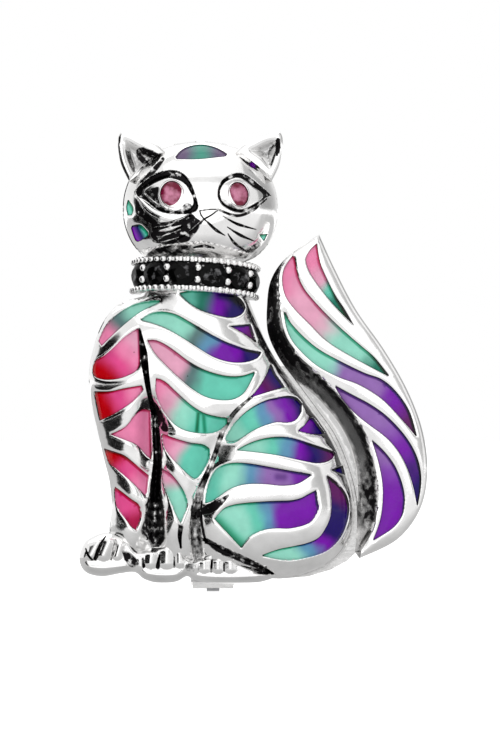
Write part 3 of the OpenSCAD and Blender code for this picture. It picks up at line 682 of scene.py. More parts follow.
# Grooves and black places between the legs, as cut_by() takes them; their black is painted shade between
# the legs
BODY_MARKS = [
    [[[-7.3, 11.0], [-6.8, 7.7], [-6.45, 5.3], [-6.1, 3.6], [-5.75, 1.8], [-5.6, 0.0], [-5.5, -2.0],
      [-5.7, -4.5], [-5.75, -7.0], [-5.6, -9.8]],
     [0.12, 0.4, 0.28, 0.22, 0.3, 0.4, 0.45, 0.55, 0.85, 0.9], 0.9, 0.85],
    [[[-6.0, 4.0], [-5.6, 2.9], [-5.15, 1.9], [-4.75, 1.1]], [0.1, 0.45, 0.6, 0.35], 0.08, 0.95],
    [[[4.2, 4.6], [2.2, 2.8], [1.0, 0.9], [0.3, -1.2], [-0.5, -3.2], [-1.2, -4.8], [-1.6, -7.0],
      [-1.7, -9.5], [-1.5, -11.5]], [0.1, 0.2, 0.25, 0.25, 0.25, 0.35, 0.5, 0.6, 0.6], 0.4, 0.5],
    [[[-1.1, -6.0], [-1.15, -8.0], [-0.7, -10.2]], [0.08, 0.14, 0.12], 0.15, 0.95],
    [[[-1.4, -7.2], [-0.3, -6.8], [0.9, -6.0], [1.5, -5.5]], [0.3, 0.55, 0.45, 0.1], 0.1, 0.95],
    [[[-0.8, -9.9], [0.8, -10.9], [2.6, -11.7], [4.4, -12.5], [6.0, -13.3]],
     [0.2, 0.4, 0.35, 0.3, 0.1], 0.4, 0.9],
    [[[-3.2, -8.6], [-3.3, -9.6], [-3.2, -10.6]], [0.25, 0.2, 0.1], 0.3, 0.85]]


def lipped(edge):
    """Height of a bar's rounded lip at a distance from its edge."""
    return LIP * rounded(edge, LIP_WIDTH)


def openings(names):
    """Outlines of the openings that the named enamel panels fill."""
    return [panel_outline(name) for name in names]


def wall_lean(verts):
    """How far the walls of the body's openings lean uphill, as they stand square to its face."""
    shifts = np.eye(2) * LEAN_STEP
    slope = np.stack([body_rise(verts + shift) - body_rise(verts - shift) for shift in shifts], 1)
    lean = WALL * LEAN * (slope / (2 * LEAN_STEP))
    lean *= np.minimum(1, MOST_LEAN / np.maximum(np.linalg.norm(lean, axis=1, keepdims=True), 1e-9))
    return lean * (segment_distance(verts, body_outline, closed=True) > 0.01)[:, None]


def body_casting():
    """Hollow silver casting with rounded bars round its openings."""
    flat = flat_mesh(body_outline, openings(BODY_PANELS), BODY_MESH, RINGS, points_by(BODY_MARKS))
    verts, _, edge = flat
    cut, dark = cut_by(verts, BODY_MARKS)
    cut = np.minimum(cut, BESIDE_CUT + CUT_SLOPE * edge)
    front = body_rise(verts) - cut + lipped(edge)
    back = np.maximum(0, body_rise(verts) - WALL - np.minimum(cut, BACK_CUT))
    obj = thick("body_silver", flat, front, back, wall_lean(verts))
    # painted shade between the legs
    add_values(obj, "oxide_and_shade", dark)
    # painted shade on the walls of the openings
    add_values(obj, "shade", WALL_SHADE * (np.arange(len(obj.data.vertices)) >= 2 * len(verts)))
    stands_for(obj, "body_casting", silver)


RIDGE, RIDGE_WIDTH = 0.14, 0.3  # the ridge between the tail's face and its bare side
TAIL_LIP, HEAD_LIP = 0.5, 0.6  # their bars' lips, as shares of the body's
HOLLOW_FROM, HOLLOW_BANK = 0.3, 0.6  # where the hollow behind the face begins, and how wide its bank is
# Where up the tail its side turns into its top, into its foot, and runs out: (z, over what height)
TOP_Z, FOOT_Z, TIP_Z = (4.5, 4.0), (-1.0, 4.0), (-9.8, 2.5)
# The bare side at distances from the ridge: how much painted black and grey shade it has in its lower
# part, foot and top
SIDE_AT = [0.0, 0.08, 0.16, 0.36, 0.46, 1.45, 1.6, 2.0, 2.5]
SIDE_LOW = {"oxide_and_shade": [0.0, 0.7, 1.0, 1.0, 0.2, 0.0, 0.0, 0.0, 0.0],
            "shade": [0.0, 0.3, 0.7, 0.93, 0.93, 0.9, 0.35, 0.3, 0.3]}
SIDE_FOOT = {"oxide_and_shade": [0.0, 0.3, 0.85, 0.85, 0.85, 0.4, 0.0, 0.0, 0.0],
             "shade": [0.0, 0.2, 0.5, 0.6, 0.6, 0.5, 0.4, 0.35, 0.3]}
SIDE_HIGH = {"oxide_and_shade": [0.0, 0.4, 0.95, 0.95, 0.95, 0.75, 0.6, 0.5, 0.4],
             "shade": [0.0, 0.3, 0.6, 0.6, 0.6, 0.6, 0.5, 0.4, 0.3]}


def tail_casting():
    """Casting of the tail, whose bare side is darkened beside the ridge of its face with painted shade."""
    flat = flat_mesh(tail_outline, openings(TAIL_PANELS), TAIL_MESH, RINGS)
    verts, _, edge = flat
    on_face = on_tail_face(verts)
    from_ridge = segment_distance(verts, smooth(TAIL_FACE))
    ridge = RIDGE * np.exp(-((from_ridge / RIDGE_WIDTH) ** 2))
    back = np.where(on_face, TAIL_RISE - WALL, 0) * np.clip((from_ridge - HOLLOW_FROM) / HOLLOW_BANK, 0, 1)
    obj = thick("tail_silver", flat, tail_rise(verts) + ridge + TAIL_LIP * lipped(edge), back)
    z = verts[:, 1]
    higher = np.clip((z - TOP_Z[0]) / TOP_Z[1], 0, 1)
    lower = np.clip((FOOT_Z[0] - z) / FOOT_Z[1], 0, 1)
    fading = np.clip((z - TIP_Z[0]) / TIP_Z[1], 0, 1)
    # painted shade on the bare side, none on the face
    for name in ("oxide_and_shade", "shade"):
        low, foot, high = (np.interp(from_ridge, SIDE_AT, side[name])
                           for side in (SIDE_LOW, SIDE_FOOT, SIDE_HIGH))
        side = (low * (1 - higher - lower) + foot * lower + high * higher) * fading
        add_values(obj, name, np.where(on_face, 0, side))
    stands_for(obj, "tail_casting", silver)


# --- Enamel ---

def along_panel(p, verts, name):
    """How far each point is along the colours of a panel with the given vertices, 0 to 1."""
    centre = verts.mean(0)
    if name in HEADINGS:
        axis = np.array(HEADINGS[name])
    else:
        axis = np.linalg.svd(verts - centre, full_matrices=False)[2][0]
        axis = axis if axis[0] - 0.6 * axis[1] > 0 else -axis  # from the left or upper end
    ends = (verts - centre) @ axis
    return ((p - centre) @ axis - ends.min()) / np.ptp(ends)


SHADOW_FROM = np.array([0.6, 0.8])  # the silver on this side of a panel shades its enamel
SHADOW_STEPS = 0.34 * np.array([0.25, 0.5, 0.75, 1.0])
OPEN_PANELS = {"crown"}  # panels that the silver doesn't shade
COARSE, FINE = 0.2, 0.1  # spacing of the points in a plain panel, and in one with pools
ENAMEL_RINGS = (0.05, 0.1, 0.17, 0.25, 0.34)
MENISCUS, MENISCUS_WIDTH = 0.08, 0.1  # how the enamel climbs the silver round it
SWELL, SWELL_WIDTH = 0.05, 1.2

# Places where a panel's enamel is painted darker and more saturated: (points along it, half-width,
# strength)
POOLS = {"haunch": [([[0.3, -8.4], [1.4, -9.5], [2.6, -10.7]], 0.7, 1.0)],
         "lower_chest": [([[-1.45, 2.7], [-1.6, 0.9]], 0.16, 1.0),
                         ([[-0.95, 2.6], [-0.8, 0.9]], 0.18, 0.6)],
         "upper_haunch": [([[6.45, -3.65], [7.1, -3.65]], 0.35, 0.25)],
         "throat": [([[0.9, 14.6], [2.2, 14.3], [3.2, 13.6]], 0.45, 0.9)]}


def pool_shade(p, name):
    """How much each point is darkened by the panel's pools, 0 to 1."""
    shade = np.zeros(len(p))
    for line, half, strength in POOLS.get(name, []):
        shade = np.maximum(shade, strength * np.exp(-((segment_distance(p, line) / half) ** 2)))
    return shade


def rim_shadow(p, outline):
    """How deep each point lies in the shade of the silver round its panel, 0 to 1."""
    return np.mean([~inside(p + SHADOW_FROM * step, [outline]) for step in SHADOW_STEPS], axis=0)


def enamel_panel(name, colours, rise):
    """Pool of enamel in its opening, a little below the silver whose height `rise` gives."""
    outline = panel_outline(name)
    flat = flat_mesh(outline, [], FINE if name in POOLS else COARSE, ENAMEL_RINGS)
    verts, _, edge = flat
    front = (rise(verts) - ENAMEL_LOW + MENISCUS * np.exp(-edge / MENISCUS_WIDTH)
             + SWELL * rounded(edge, SWELL_WIDTH))
    back = np.maximum(0.05, rise(verts) - ENAMEL_LOW - ENAMEL_THICK)
    obj = thick(f"enamel_{name}_fill", flat, front, back)
    points = np.array([v.co for v in obj.data.vertices])[:, [0, 2]] / MM
    add_values(obj, "along", along_panel(points, verts, name))
    shaded = 0 if name in OPEN_PANELS else rim_shadow(points, outline)
    add_values(obj, "shadow", np.maximum(shaded, pool_shade(points, name)))
    stands_for(obj, "enamel_" + name, enamel(colours))


# --- Head ---

# The outer edge of each eye's channel, and the edge of its white
LEFT_EYE_OUTER = [[-7.75, 24.75], [-6.4, 26.2], [-4.6, 26.9], [-3.3, 26.75], [-2.4, 26.0], [-1.85, 24.8],
                  [-1.45, 23.2], [-2.1, 22.6], [-3.6, 22.5], [-5.2, 22.75], [-6.4, 23.6]]
LEFT_EYE_WHITE = [[-6.8, 24.84], [-5.4, 25.76], [-4.2, 26.05], [-2.9, 25.6], [-2.2, 24.6], [-1.95, 23.6],
                  [-2.5, 22.95], [-3.7, 22.8], [-5.2, 23.1], [-6.3, 24.0]]
RIGHT_EYE_OUTER = [[0.5, 25.0], [0.9, 25.9], [1.7, 26.45], [2.5, 26.65], [3.3, 26.5], [4.3, 25.75],
                   [5.8, 24.45], [5.2, 24.1], [4.2, 23.3], [2.6, 22.7], [1.2, 23.2], [0.55, 24.0]]
RIGHT_EYE_WHITE = [[0.75, 24.9], [1.2, 25.6], [1.9, 26.0], [2.5, 26.1], [3.2, 25.85], [4.0, 25.2],
                   [5.0, 24.4], [4.2, 23.6], [2.7, 23.0], [1.3, 23.5], [0.78, 24.2]]
CHANNELS = ((LEFT_EYE_OUTER, LEFT_EYE_WHITE), (RIGHT_EYE_OUTER, RIGHT_EYE_WHITE))
# Its depth, and the widths over which the depth and the black set in
CHANNEL_DEEP, CHANNEL_WALL, CHANNEL_EDGE = 0.28, 0.18, 0.05
# Engraving of the face, as cut_by() takes it
HEAD_MARKS = [
    # nose and mouth
    [[[-1.3, 22.85], [-0.3, 22.98], [0.6, 23.0]], [0.06, 0.07, 0.05], 0.08, 0.8],
    [[[0.6, 23.0], [-0.1, 22.45], [-0.85, 22.0], [-1.35, 21.5], [-2.45, 20.65]],
     [0.05, 0.07, 0.09, 0.12, 0.04], 0.12, 0.9],
    [[[-1.3, 22.85], [-1.15, 22.4], [-0.8, 21.95]], [0.06, 0.07, 0.06], 0.1, 0.9],
    [[[-0.85, 22.0], [-0.4, 21.6], [0.3, 20.95], [1.2, 20.4]], [0.05, 0.13, 0.15, 0.04], 0.16, 1.0],
    # whiskers
    [[[1.05, 22.3], [2.4, 21.55], [4.3, 21.0]], [0.05, 0.15, 0.04], 0.16, 1.0],
    [[[1.5, 21.2], [2.8, 20.4], [4.15, 19.85]], [0.05, 0.16, 0.04], 0.16, 1.0],
    [[[1.5, 20.55], [2.2, 19.6], [3.3, 18.87]], [0.05, 0.16, 0.05], 0.16, 1.0],
    [[[-2.2, 22.4], [-3.9, 21.7], [-5.8, 21.1]], [0.08, 0.22, 0.06], 0.24, 0.3],
    [[[-3.1, 21.3], [-4.4, 20.6], [-5.6, 19.95]], [0.08, 0.22, 0.06], 0.24, 0.3],
    [[[-2.8, 20.4], [-4.1, 19.8], [-5.4, 19.4]], [0.08, 0.2, 0.06], 0.2, 0.3],
    # lids: ridges beside the eyes' channels
    [[[-7.6, 24.3], [-6.4, 22.95], [-5.2, 22.3], [-3.6, 21.95], [-2.0, 22.2]],
     [0.15, 0.3, 0.35, 0.3, 0.1], -0.16, 0.0],
    [[[-6.9, 25.3], [-5.6, 26.1], [-4.3, 26.45]], [0.05, 0.09, 0.04], -0.2, 0.0],
    [[[0.7, 22.9], [2.4, 22.35], [4.0, 22.9], [5.4, 24.1]], [0.1, 0.16, 0.14, 0.06], 0.12, 0.8],
    # chin, forehead and temple; the chin's line is a cut darkened with painted shadow under the mouth
    [[[-1.9, 19.2], [-0.9, 19.35], [0.1, 19.15]], [0.1, 0.2, 0.1], 0.12, 0.75],
    [[[2.7, 28.2], [3.6, 27.5], [4.5, 26.9]], [0.05, 0.16, 0.05], 0.15, 0.95],
    [[[-5.0, 28.0], [-5.9, 26.9], [-7.2, 25.7]], [0.2, 0.3, 0.1], 0.2, 0.95]]
FACE_STEP, PATCH_EDGE = 0.09, 0.12
# Parts of the face painted black and grey: painted reflection on the left cheek, and painted shade under
# the chin and in and under the eyes: [outline, darkness]
FACE_SHADE_AND_REFLECTIONS = [
    [[[-7.75, 24.1], [-7.7, 22.0], [-7.0, 21.5], [-6.2, 20.9], [-6.4, 20.1], [-5.7, 19.6], [-4.4, 19.5],
      [-2.7, 19.65], [-2.0, 20.2], [-1.3, 21.1], [-1.0, 21.7], [-1.65, 22.2], [-2.2, 22.7],
      [-3.1, 22.25], [-3.6, 22.0], [-5.2, 21.8], [-6.1, 22.35], [-6.9, 23.0], [-7.35, 23.8]], 1.0],
    [[[-6.8, 17.6], [-6.5, 18.7], [-5.3, 19.3], [-3.8, 19.5], [-2.0, 19.4], [-2.0, 18.7], [-3.5, 18.1],
      [-4.8, 17.5]], 0.62],
    [[[3.0, 18.1], [3.6, 18.9], [4.6, 19.2], [4.3, 18.3], [3.6, 17.7]], 0.4],
    [[[-6.75, 24.8], [-5.4, 25.3], [-5.4, 24.3], [-5.1, 23.5], [-4.3, 23.0], [-5.3, 23.0],
      [-6.2, 23.8]], 0.9],
    [[[-4.5, 23.25], [-3.6, 22.95], [-2.7, 23.7], [-2.0, 23.4], [-2.3, 22.8], [-3.5, 22.6],
      [-4.6, 22.7]], 0.55],
    [[[0.8, 24.1], [1.8, 23.8], [2.5, 23.15], [3.4, 23.2], [5.0, 24.1], [5.1, 23.8], [3.6, 22.7],
      [2.5, 22.6], [1.2, 23.1]], 0.5]]
# Bright ridges left standing in the black of the cuts and of the painted reflection
HEAD_GLEAMS = [
    [[[-5.8, 21.2], [-4.3, 21.5], [-2.3, 22.45]], [0.05, 0.08, 0.05], 0.1, 1.0],
    [[[-5.3, 20.85], [-4.2, 21.05], [-3.2, 21.35]], [0.08, 0.2, 0.08], 0.1, 1.0],
    [[[-5.5, 20.0], [-4.6, 20.5], [-3.2, 21.0]], [0.05, 0.1, 0.05], 0.1, 1.0],
    [[[-5.2, 19.75], [-4.2, 19.95], [-3.4, 20.2]], [0.05, 0.08, 0.04], 0.1, 1.0],
    [[[-2.4, 20.75], [-1.7, 21.35], [-1.0, 22.0]], [0.05, 0.08, 0.05], 0.1, 1.0],
    [[[-7.75, 24.95], [-6.5, 26.1], [-5.0, 26.85]], [0.04, 0.07, 0.04], 0.12, 1.0],
    [[[-6.7, 24.6], [-5.9, 23.8], [-4.9, 23.2], [-3.9, 22.75]], [0.04, 0.07, 0.07, 0.04], 0.1, 1.0]]


def depth_inside(p, loop):
    """How far in from a closed loop each point of p is, 0 outside it."""
    return np.where(inside(p, [loop]), segment_distance(p, loop, closed=True), 0)


def channel(p, outer, white):
    """Cut between an eye's outer edge and its white: (depth, darkness)."""
    outer, white = (smooth(loop, 6, closed=True) for loop in (outer, white))
    outside_white = np.where(inside(p, [white]), 0, segment_distance(p, white, closed=True))
    depth = np.minimum(depth_inside(p, outer), outside_white)
    return CHANNEL_DEEP * np.clip(depth / CHANNEL_WALL, 0, 1), np.clip(depth / CHANNEL_EDGE, 0, 1)


def head_front(p):
    """Height of the engraved face, and how black it is: its dark cuts, and its painted reflection and
    shade.
    """
    cut, dark = cut_by(p, HEAD_MARKS)
    for outer, white in CHANNELS:
        deep, black = channel(p, outer, white)
        cut = cut + deep
        dark = np.maximum(dark, black)
    # painted reflection and shade on the face
    for outline, darkness in FACE_SHADE_AND_REFLECTIONS:
        from_edge = depth_inside(p, smooth(outline, 4, closed=True))
        dark = np.maximum(dark, darkness * np.clip(from_edge / PATCH_EDGE, 0, 1))
    ridge, bright = cut_by(p, HEAD_GLEAMS)
    return head_rise(p) - cut + ridge, dark * (1 - bright)


def head_casting():
    """Casting of the head, with mesh points along every engraved edge."""
    edges = [edge for pair in CHANNELS for edge in pair] + [FACE_SHADE_AND_REFLECTIONS[0][0]]
    beside = [offset_points(spaced(smooth(edge, closed=True), FACE_STEP), 0.03) for edge in edges]
    extra = np.concatenate([points_by(HEAD_MARKS + HEAD_GLEAMS, FACE_STEP)] + beside)
    flat = flat_mesh(head_outline, openings(HEAD_PANELS), HEAD_MESH, RINGS, extra)
    verts, _, edge = flat
    front, dark = head_front(verts)
    obj = thick("head_silver", flat, front + HEAD_LIP * lipped(edge),
                np.maximum(0, head_rise(verts) - WALL))
    add_values(obj, "oxide_and_shade", dark)
    stands_for(obj, "head_casting", silver)


EAR_BACK, EAR_FRONT = 1.6, 3.6  # how far the ear's back and rim stand in front of the plate
EAR_LIP, EAR_LIP_WIDTH = 0.5, 0.3
DISH_DEEP, DISH_WIDTH = 0.8, 1.1
# painted shade in each ear's dish, black-flecked and grey, stronger where the dish is deeper
DISH_BLACKENING, DISH_SHADE = 0.28, 0.35
DISHES = {
    -1: [[-8.85, 30.25], [-7.2, 29.5], [-5.15, 28.4], [-5.4, 27.6], [-6.6, 26.9], [-7.9, 26.1],
         [-8.7, 27.4], [-9.1, 29.0]],
    1: [[6.5, 30.1], [5.5, 30.15], [4.3, 29.6], [3.4, 28.9], [4.6, 27.9], [5.7, 26.9], [6.35, 28.2],
        [6.7, 29.4]]}
# Dark marks in each ear's dish
EAR_DARK = {-1: [[[[-7.1, 28.6], [-6.3, 28.1], [-5.3, 27.9]], [0.7, 1.0, 0.6], 0.0, 0.95],
                 [[[-9.3, 30.2], [-9.38, 29.0], [-9.05, 27.4], [-8.4, 26.0]], [0.09, 0.09], 0.05, 1.0]],
            1: [[[[6.5, 29.9], [6.5, 29.2], [6.4, 28.4]], [0.25, 0.28, 0.1], 0.0, 0.95]]}


def ear(side):
    """Ear with a thick rounded rim round a dish."""
    outline = closed_outline(on_head(EAR_INNER, side), on_head(EAR_OUTER, side), 0.12)
    flat = flat_mesh(outline, [], EAR_MESH, EAR_RINGS)
    verts, _, edge = flat
    depth = depth_inside(verts, smooth(DISHES[side], closed=True))
    hollow = 0.5 - 0.5 * np.cos(math.pi * np.clip(depth / DISH_WIDTH, 0, 1))
    front = EAR_FRONT - EAR_LIP + EAR_LIP * rounded(edge, EAR_LIP_WIDTH) - DISH_DEEP * hollow
    obj = thick("ear_left" if side < 0 else "ear_right", flat, front, EAR_BACK)
    _, dark = cut_by(verts, EAR_DARK[side])
    add_values(obj, "oxide_and_shade", np.maximum(dark, DISH_BLACKENING * hollow))
    add_values(obj, "shade", DISH_SHADE * hollow)
    stands_for(obj, "head_casting", silver)


# --- Stones, bezels and collar ---

def placed(points, origin, right, up, out):
    """Points in a setting's own axes, moved to where it sits."""
    return np.asarray(origin) + np.asarray(points, float) @ np.array([right, up, out])


def taken_from(bm):
    """Vertices and faces of a bmesh, which is freed."""
    bm.verts.index_update()
    verts = [v.co[:] for v in bm.verts]
    faces = [[v.index for v in f.verts] for f in bm.faces]
    bm.free()
    return verts, faces


def cut_stone(name, half_w, half_h, rise, sides, setting, node_name, material):
    """Brilliant-cut stone: table, crown, girdle and pavilion."""
    rings = [(0.55, rise, 0.0), (0.82, 0.6 * rise, 0.5), (1.0, 0.1, 0.25), (1.0, 0.1, 0.75),
             (1.0, -0.05, 0.25), (1.0, -0.05, 0.75), (0.6, -0.5, 0.0), (0.1, -0.85, 0.0)]
    points = [(r * half_w * math.sin(2 * math.pi * (k + turn) / sides),
               r * half_h * math.cos(2 * math.pi * (k + turn) / sides), w * min(half_w, half_h))
              for r, w, turn in rings for k in range(sides)]
    bm = bmesh.new()
    for point in placed(points, *setting):
        bm.verts.new(point)
    bmesh.ops.convex_hull(bm, input=bm.verts)
    bmesh.ops.dissolve_limit(bm, angle_limit=math.radians(1), verts=bm.verts, edges=bm.edges)
    bmesh.ops.recalc_face_normals(bm, faces=bm.faces)
    verts, faces = taken_from(bm)
    obj = new_piece(name, verts, faces, angle=2)
    origin, right, up, _ = map(np.asarray, setting)
    offsets = np.array(verts) - origin
    add_values(obj, "rim", np.hypot(offsets @ right / half_w, offsets @ up / half_h))
    stands_for(obj, node_name, material)


def swept(rows, closed):
    """Quads of a tube whose rows each hold one closed profile, with flat ends unless it closes."""
    count, size = len(rows), len(rows[0])
    faces = []
    for i in range(count if closed else count - 1):
        j = (i + 1) % count
        for k in range(size):
            m = (k + 1) % size
            faces.append((i * size + k, i * size + m, j * size + m, j * size + k))
    if not closed:
        faces += [tuple(range(size))[::-1], tuple((count - 1) * size + k for k in range(size))]
    return np.concatenate(rows), faces


# Each eye's stone: its middle, half-width, half-height, lean in degrees and rise
EYES = {"left": ([-4.08, 24.52], 1.09, 1.22, 0.0, 6.25),
        "right": ([2.56, 24.48], 0.9, 1.16, 15.0, 6.15)}
BEZEL_INSIDE = 0.05  # the bezel is painted black, as shade between it and the stone, nearer the stone than this


def eye(side):
    """Red stone in a rounded bezel, painted black inside as shade next to the stone."""
    (x, z), half_w, half_h, lean, rise = EYES[side]
    c, s = math.cos(math.radians(lean)), math.sin(math.radians(lean))
    setting = (x, -PLATE - rise, z), (c, 0, s), (-s, 0, c), (0, -1, 0)
    cut_stone("eye_gem_" + side, half_w, half_h, 0.3, 10, setting, "eye_stone_" + side, red_gem)
    profile = [(0.03, -0.6), (0.2, -0.6), (0.22, 0.08), (0.17, 0.2), (0.1, 0.22), (0.04, 0.14)]
    rows = []
    for a in np.linspace(0, 2 * math.pi, 48, endpoint=False):
        points = [((half_w + r) * math.sin(a), (half_h + r) * math.cos(a), w) for r, w in profile]
        rows.append(placed(points, *setting))
    obj = new_piece("eye_ring_" + side, *swept(rows, closed=True), angle=50)
    add_values(obj, "oxide_and_shade", np.tile([float(r < BEZEL_INSIDE) for r, _ in profile], len(rows)))
    stands_for(obj, "eye_bezel_" + side, silver)


COLLAR_X, COLLAR_Z = -1.8, 15.95
COLLAR_RADIUS, COLLAR_THICK, COLLAR_HEIGHT = 6.5, 1.3, 3.4
COLLAR_TILT = math.radians(6)
COLLAR_ROLL = math.radians(3)  # how much lower its right end sits
COLLAR_TURN = math.radians(2.5)  # how far its stones are shifted round it
CHANNEL_FLOOR = -0.5  # of the collar's sunk channel, from its outside
STONE_PITCH = math.radians(29)
STONES = 6
STONE_HALF_W, STONE_HALF_H, STONE_RISE = 1.4, 1.16, 0.36
STONE_SUNK, BEAD_SUNK, GRAIN_SUNK = 0.4, 0.32, 0.25  # how far their middles lie below the collar's outside
BEAD, BEAD_SPREAD, BEAD_HEIGHT, BEAD_ARC, BEADS = 0.35, 0.03, 1.42, 1.52, 26
GRAIN, GRAIN_HEIGHTS = 0.4, (-0.55, 0.6)


def collar_setting(angle, radius, height):
    """Place and axes at an angle from the collar's front, a radius and a height above its middle."""
    c, s = math.cos(COLLAR_TILT), math.sin(COLLAR_TILT)
    rc, rs = math.cos(COLLAR_ROLL), math.sin(COLLAR_ROLL)
    rolled = np.array([[rc, 0, rs], [0, 1, 0], [-rs, 0, rc]])
    turned = rolled @ np.array([[1, 0, 0], [0, c, s], [0, -s, c]])
    out = turned @ [math.sin(angle), -math.cos(angle), 0]
    right = turned @ [math.cos(angle), math.sin(angle), 0]
    up = turned @ [0, 0, 1]
    origin = np.array([COLLAR_X, -PLATE, COLLAR_Z]) + out * radius + up * height
    return origin, right, up, out


def collar_band():
    """Half ring with a sunk channel for the stones between two raised edges."""
    deep, half, low = COLLAR_THICK, COLLAR_HEIGHT / 2, CHANNEL_FLOOR
    profile = [(-deep, -half + 0.15), (-deep + 0.15, -half), (-0.35, -half), (-0.22, -half + 0.12),
               (-0.2, -half + 0.45), (low, -half + 0.6), (low, half - 0.6), (-0.2, half - 0.45),
               (-0.22, half - 0.12), (-0.35, half), (-deep + 0.15, half), (-deep, half - 0.15)]
    rows = []
    for angle in np.linspace(-math.pi / 2, math.pi / 2, 73):
        setting = collar_setting(angle, COLLAR_RADIUS, 0)
        rows.append(placed([(0, height, r) for r, height in profile], *setting))
    obj = new_piece("collar_silver", *swept(rows, closed=False), angle=40)
    add_values(obj, "oxide_and_shade", np.tile([float(r == low) for r, _ in profile], len(rows)))
    stands_for(obj, "collar_band", silver)


def grains(name, settings):
    """Small silver beads on the collar, one at each (setting, radius)."""
    bm = bmesh.new()
    for setting, radius in settings:
        for v in bmesh.ops.create_icosphere(bm, subdivisions=2, radius=radius)["verts"]:
            v.co = Vector(placed([v.co[:]], *setting)[0])
    obj = new_piece(name, *taken_from(bm), angle=80)
    stands_for(obj, "collar_band", silver)


def collar():
    """Band, its two rows of edge beads, the grains between its stones, and the stones."""
    collar_band()
    edge_beads = []
    for height in (-BEAD_HEIGHT, BEAD_HEIGHT):
        for angle in np.linspace(-BEAD_ARC, BEAD_ARC, BEADS):
            radius = BEAD + RNG.uniform(-BEAD_SPREAD, BEAD_SPREAD)
            edge_beads.append((collar_setting(angle, COLLAR_RADIUS - BEAD_SUNK, height), radius))
    grains("collar_milgrain", edge_beads)
    prongs = []
    for k in range(-2, 3):
        for height in GRAIN_HEIGHTS:
            angle = COLLAR_TURN + k * STONE_PITCH
            prongs.append((collar_setting(angle, COLLAR_RADIUS - GRAIN_SUNK, height), GRAIN))
    grains("collar_grains", prongs)
    for i in range(STONES):
        angle = COLLAR_TURN + (i - (STONES - 1) / 2) * STONE_PITCH
        setting = collar_setting(angle, COLLAR_RADIUS - STONE_SUNK, 0)
        cut_stone(f"collar_gem_{i + 1}", STONE_HALF_W, STONE_HALF_H, STONE_RISE, 8, setting,
                  f"collar_stone_{i + 1}", black_gem)


# --- Paws ---

PAW_SIDE, PAW_TOP = 1.3, 3.8  # how far the paws' edges and insteps stand in front of the plate
PAW_ROUND, CLEAR_OF_CUTS = 0.8, 0.5  # how far in from their outline they round, and marks reach full depth
PAW_OUTLINE = [
    [-13.3, -11.4], [-12.7, -10.1], [-11.3, -9.35], [-10.0, -9.2], [-8.8, -9.5], [-7.9, -10.2],
    [-7.4, -10.8], [-6.5, -10.7], [-5.2, -10.3], [-4.6, -9.0], [-3.4, -9.0], [-2.9, -10.4],
    [-2.3, -11.6], [-1.4, -11.5], [0.2, -11.4], [1.8, -11.4], [3.0, -12.0], [4.6, -12.7],
    [6.4, -13.4], [5.0, -14.1], [2.6, -14.35], [0.0, -14.3], [-1.8, -14.0], [-2.6, -13.6],
    [-3.6, -14.1], [-5.2, -14.3], [-6.8, -13.9], [-7.8, -13.2], [-9.2, -13.3], [-11.0, -13.6],
    [-12.5, -13.3], [-13.2, -12.5]]
# Rounded forms on the paws: [from, to, half-width, how far the crest stands above the instep]
PAW_FORMS = [
    [[-12.7, -10.9], [-12.95, -11.7], 0.42, 0.18], [[-11.5, -10.3], [-12.1, -11.5], 0.6, 0.33],
    [[-10.35, -10.2], [-10.9, -11.5], 0.68, 0.39], [[-9.25, -10.5], [-9.55, -11.6], 0.45, 0.27],
    [[-12.3, -12.7], [-8.8, -12.7], 0.7, 0.36],
    [[-7.25, -12.0], [-7.25, -12.7], 0.35, 0.18], [[-6.1, -11.3], [-6.2, -12.3], 0.6, 0.36],
    [[-4.55, -11.2], [-4.6, -12.3], 0.68, 0.39], [[-3.3, -11.4], [-3.3, -12.3], 0.45, 0.3],
    [[-6.9, -13.4], [-3.3, -13.5], 0.6, 0.36],
    [[-2.0, -12.65], [-2.0, -12.7], 0.75, 0.36], [[-0.85, -12.1], [-0.85, -12.9], 0.5, 0.3],
    [[0.5, -12.1], [0.5, -12.9], 0.55, 0.33], [[1.75, -12.2], [1.75, -12.9], 0.6, 0.27],
    [[-1.6, -13.75], [5.2, -13.7], 0.5, 0.3]]
# Slits between the toes and places between the paws, as cut_by() takes them; their black is painted shade
PAW_MARKS = [
    [[[-12.68, -10.8], [-12.43, -11.47], [-12.05, -11.9]], [0.06, 0.12, 0.1], 0.2, 1.0],
    [[[-10.69, -9.6], [-11.31, -10.6], [-11.75, -11.85]], [0.08, 0.18, 0.18], 0.2, 0.95],
    [[[-9.7, -10.0], [-9.88, -11.0], [-10.15, -11.9]], [0.14, 0.18, 0.08], 0.15, 0.4],
    [[[-9.0, -11.1], [-8.5, -11.6], [-8.0, -12.2]], [0.1, 0.5, 0.55], 0.1, 0.85],
    [[[-6.98, -11.8], [-6.9, -12.6]], [0.08, 0.16], 0.15, 1.0],
    [[[-5.25, -11.2], [-5.4, -11.9], [-5.5, -12.65]], [0.03, 0.14, 0.22], 0.2, 1.0],
    [[[-3.85, -11.2], [-3.85, -12.7]], [0.06, 0.1], 0.15, 0.6],
    [[[-2.1, -10.2], [-2.2, -11.9]], [0.3, 0.2], 0.1, 0.85],
    [[[-2.4, -12.65], [-1.7, -12.75]], [0.45, 0.45], 0.0, 0.5],
    [[[-0.08, -11.7], [-0.16, -13.1]], [0.12, 0.12], 0.15, 0.95],
    [[[1.1, -11.8], [1.12, -13.0]], [0.06, 0.08], 0.15, 0.95],
    [[[2.6, -12.2], [4.2, -12.8], [5.4, -13.25]], [0.3, 0.25, 0.15], 0.15, 0.95]]
# Lines along the soles, which lie in shade
SOLES = [[[-12.4, -13.0], [-10.6, -13.2], [-8.6, -12.9]], [[-7.0, -13.6], [-5.0, -13.9], [-3.0, -13.6]],
         [[-1.6, -13.95], [2.0, -14.0], [5.4, -13.7]]]
SOLE_WIDTH, SOLE_SHADE = 0.55, 0.12
FORM_SPREAD = 1.2  # how much wider a form is, where it has run out, than its half-width


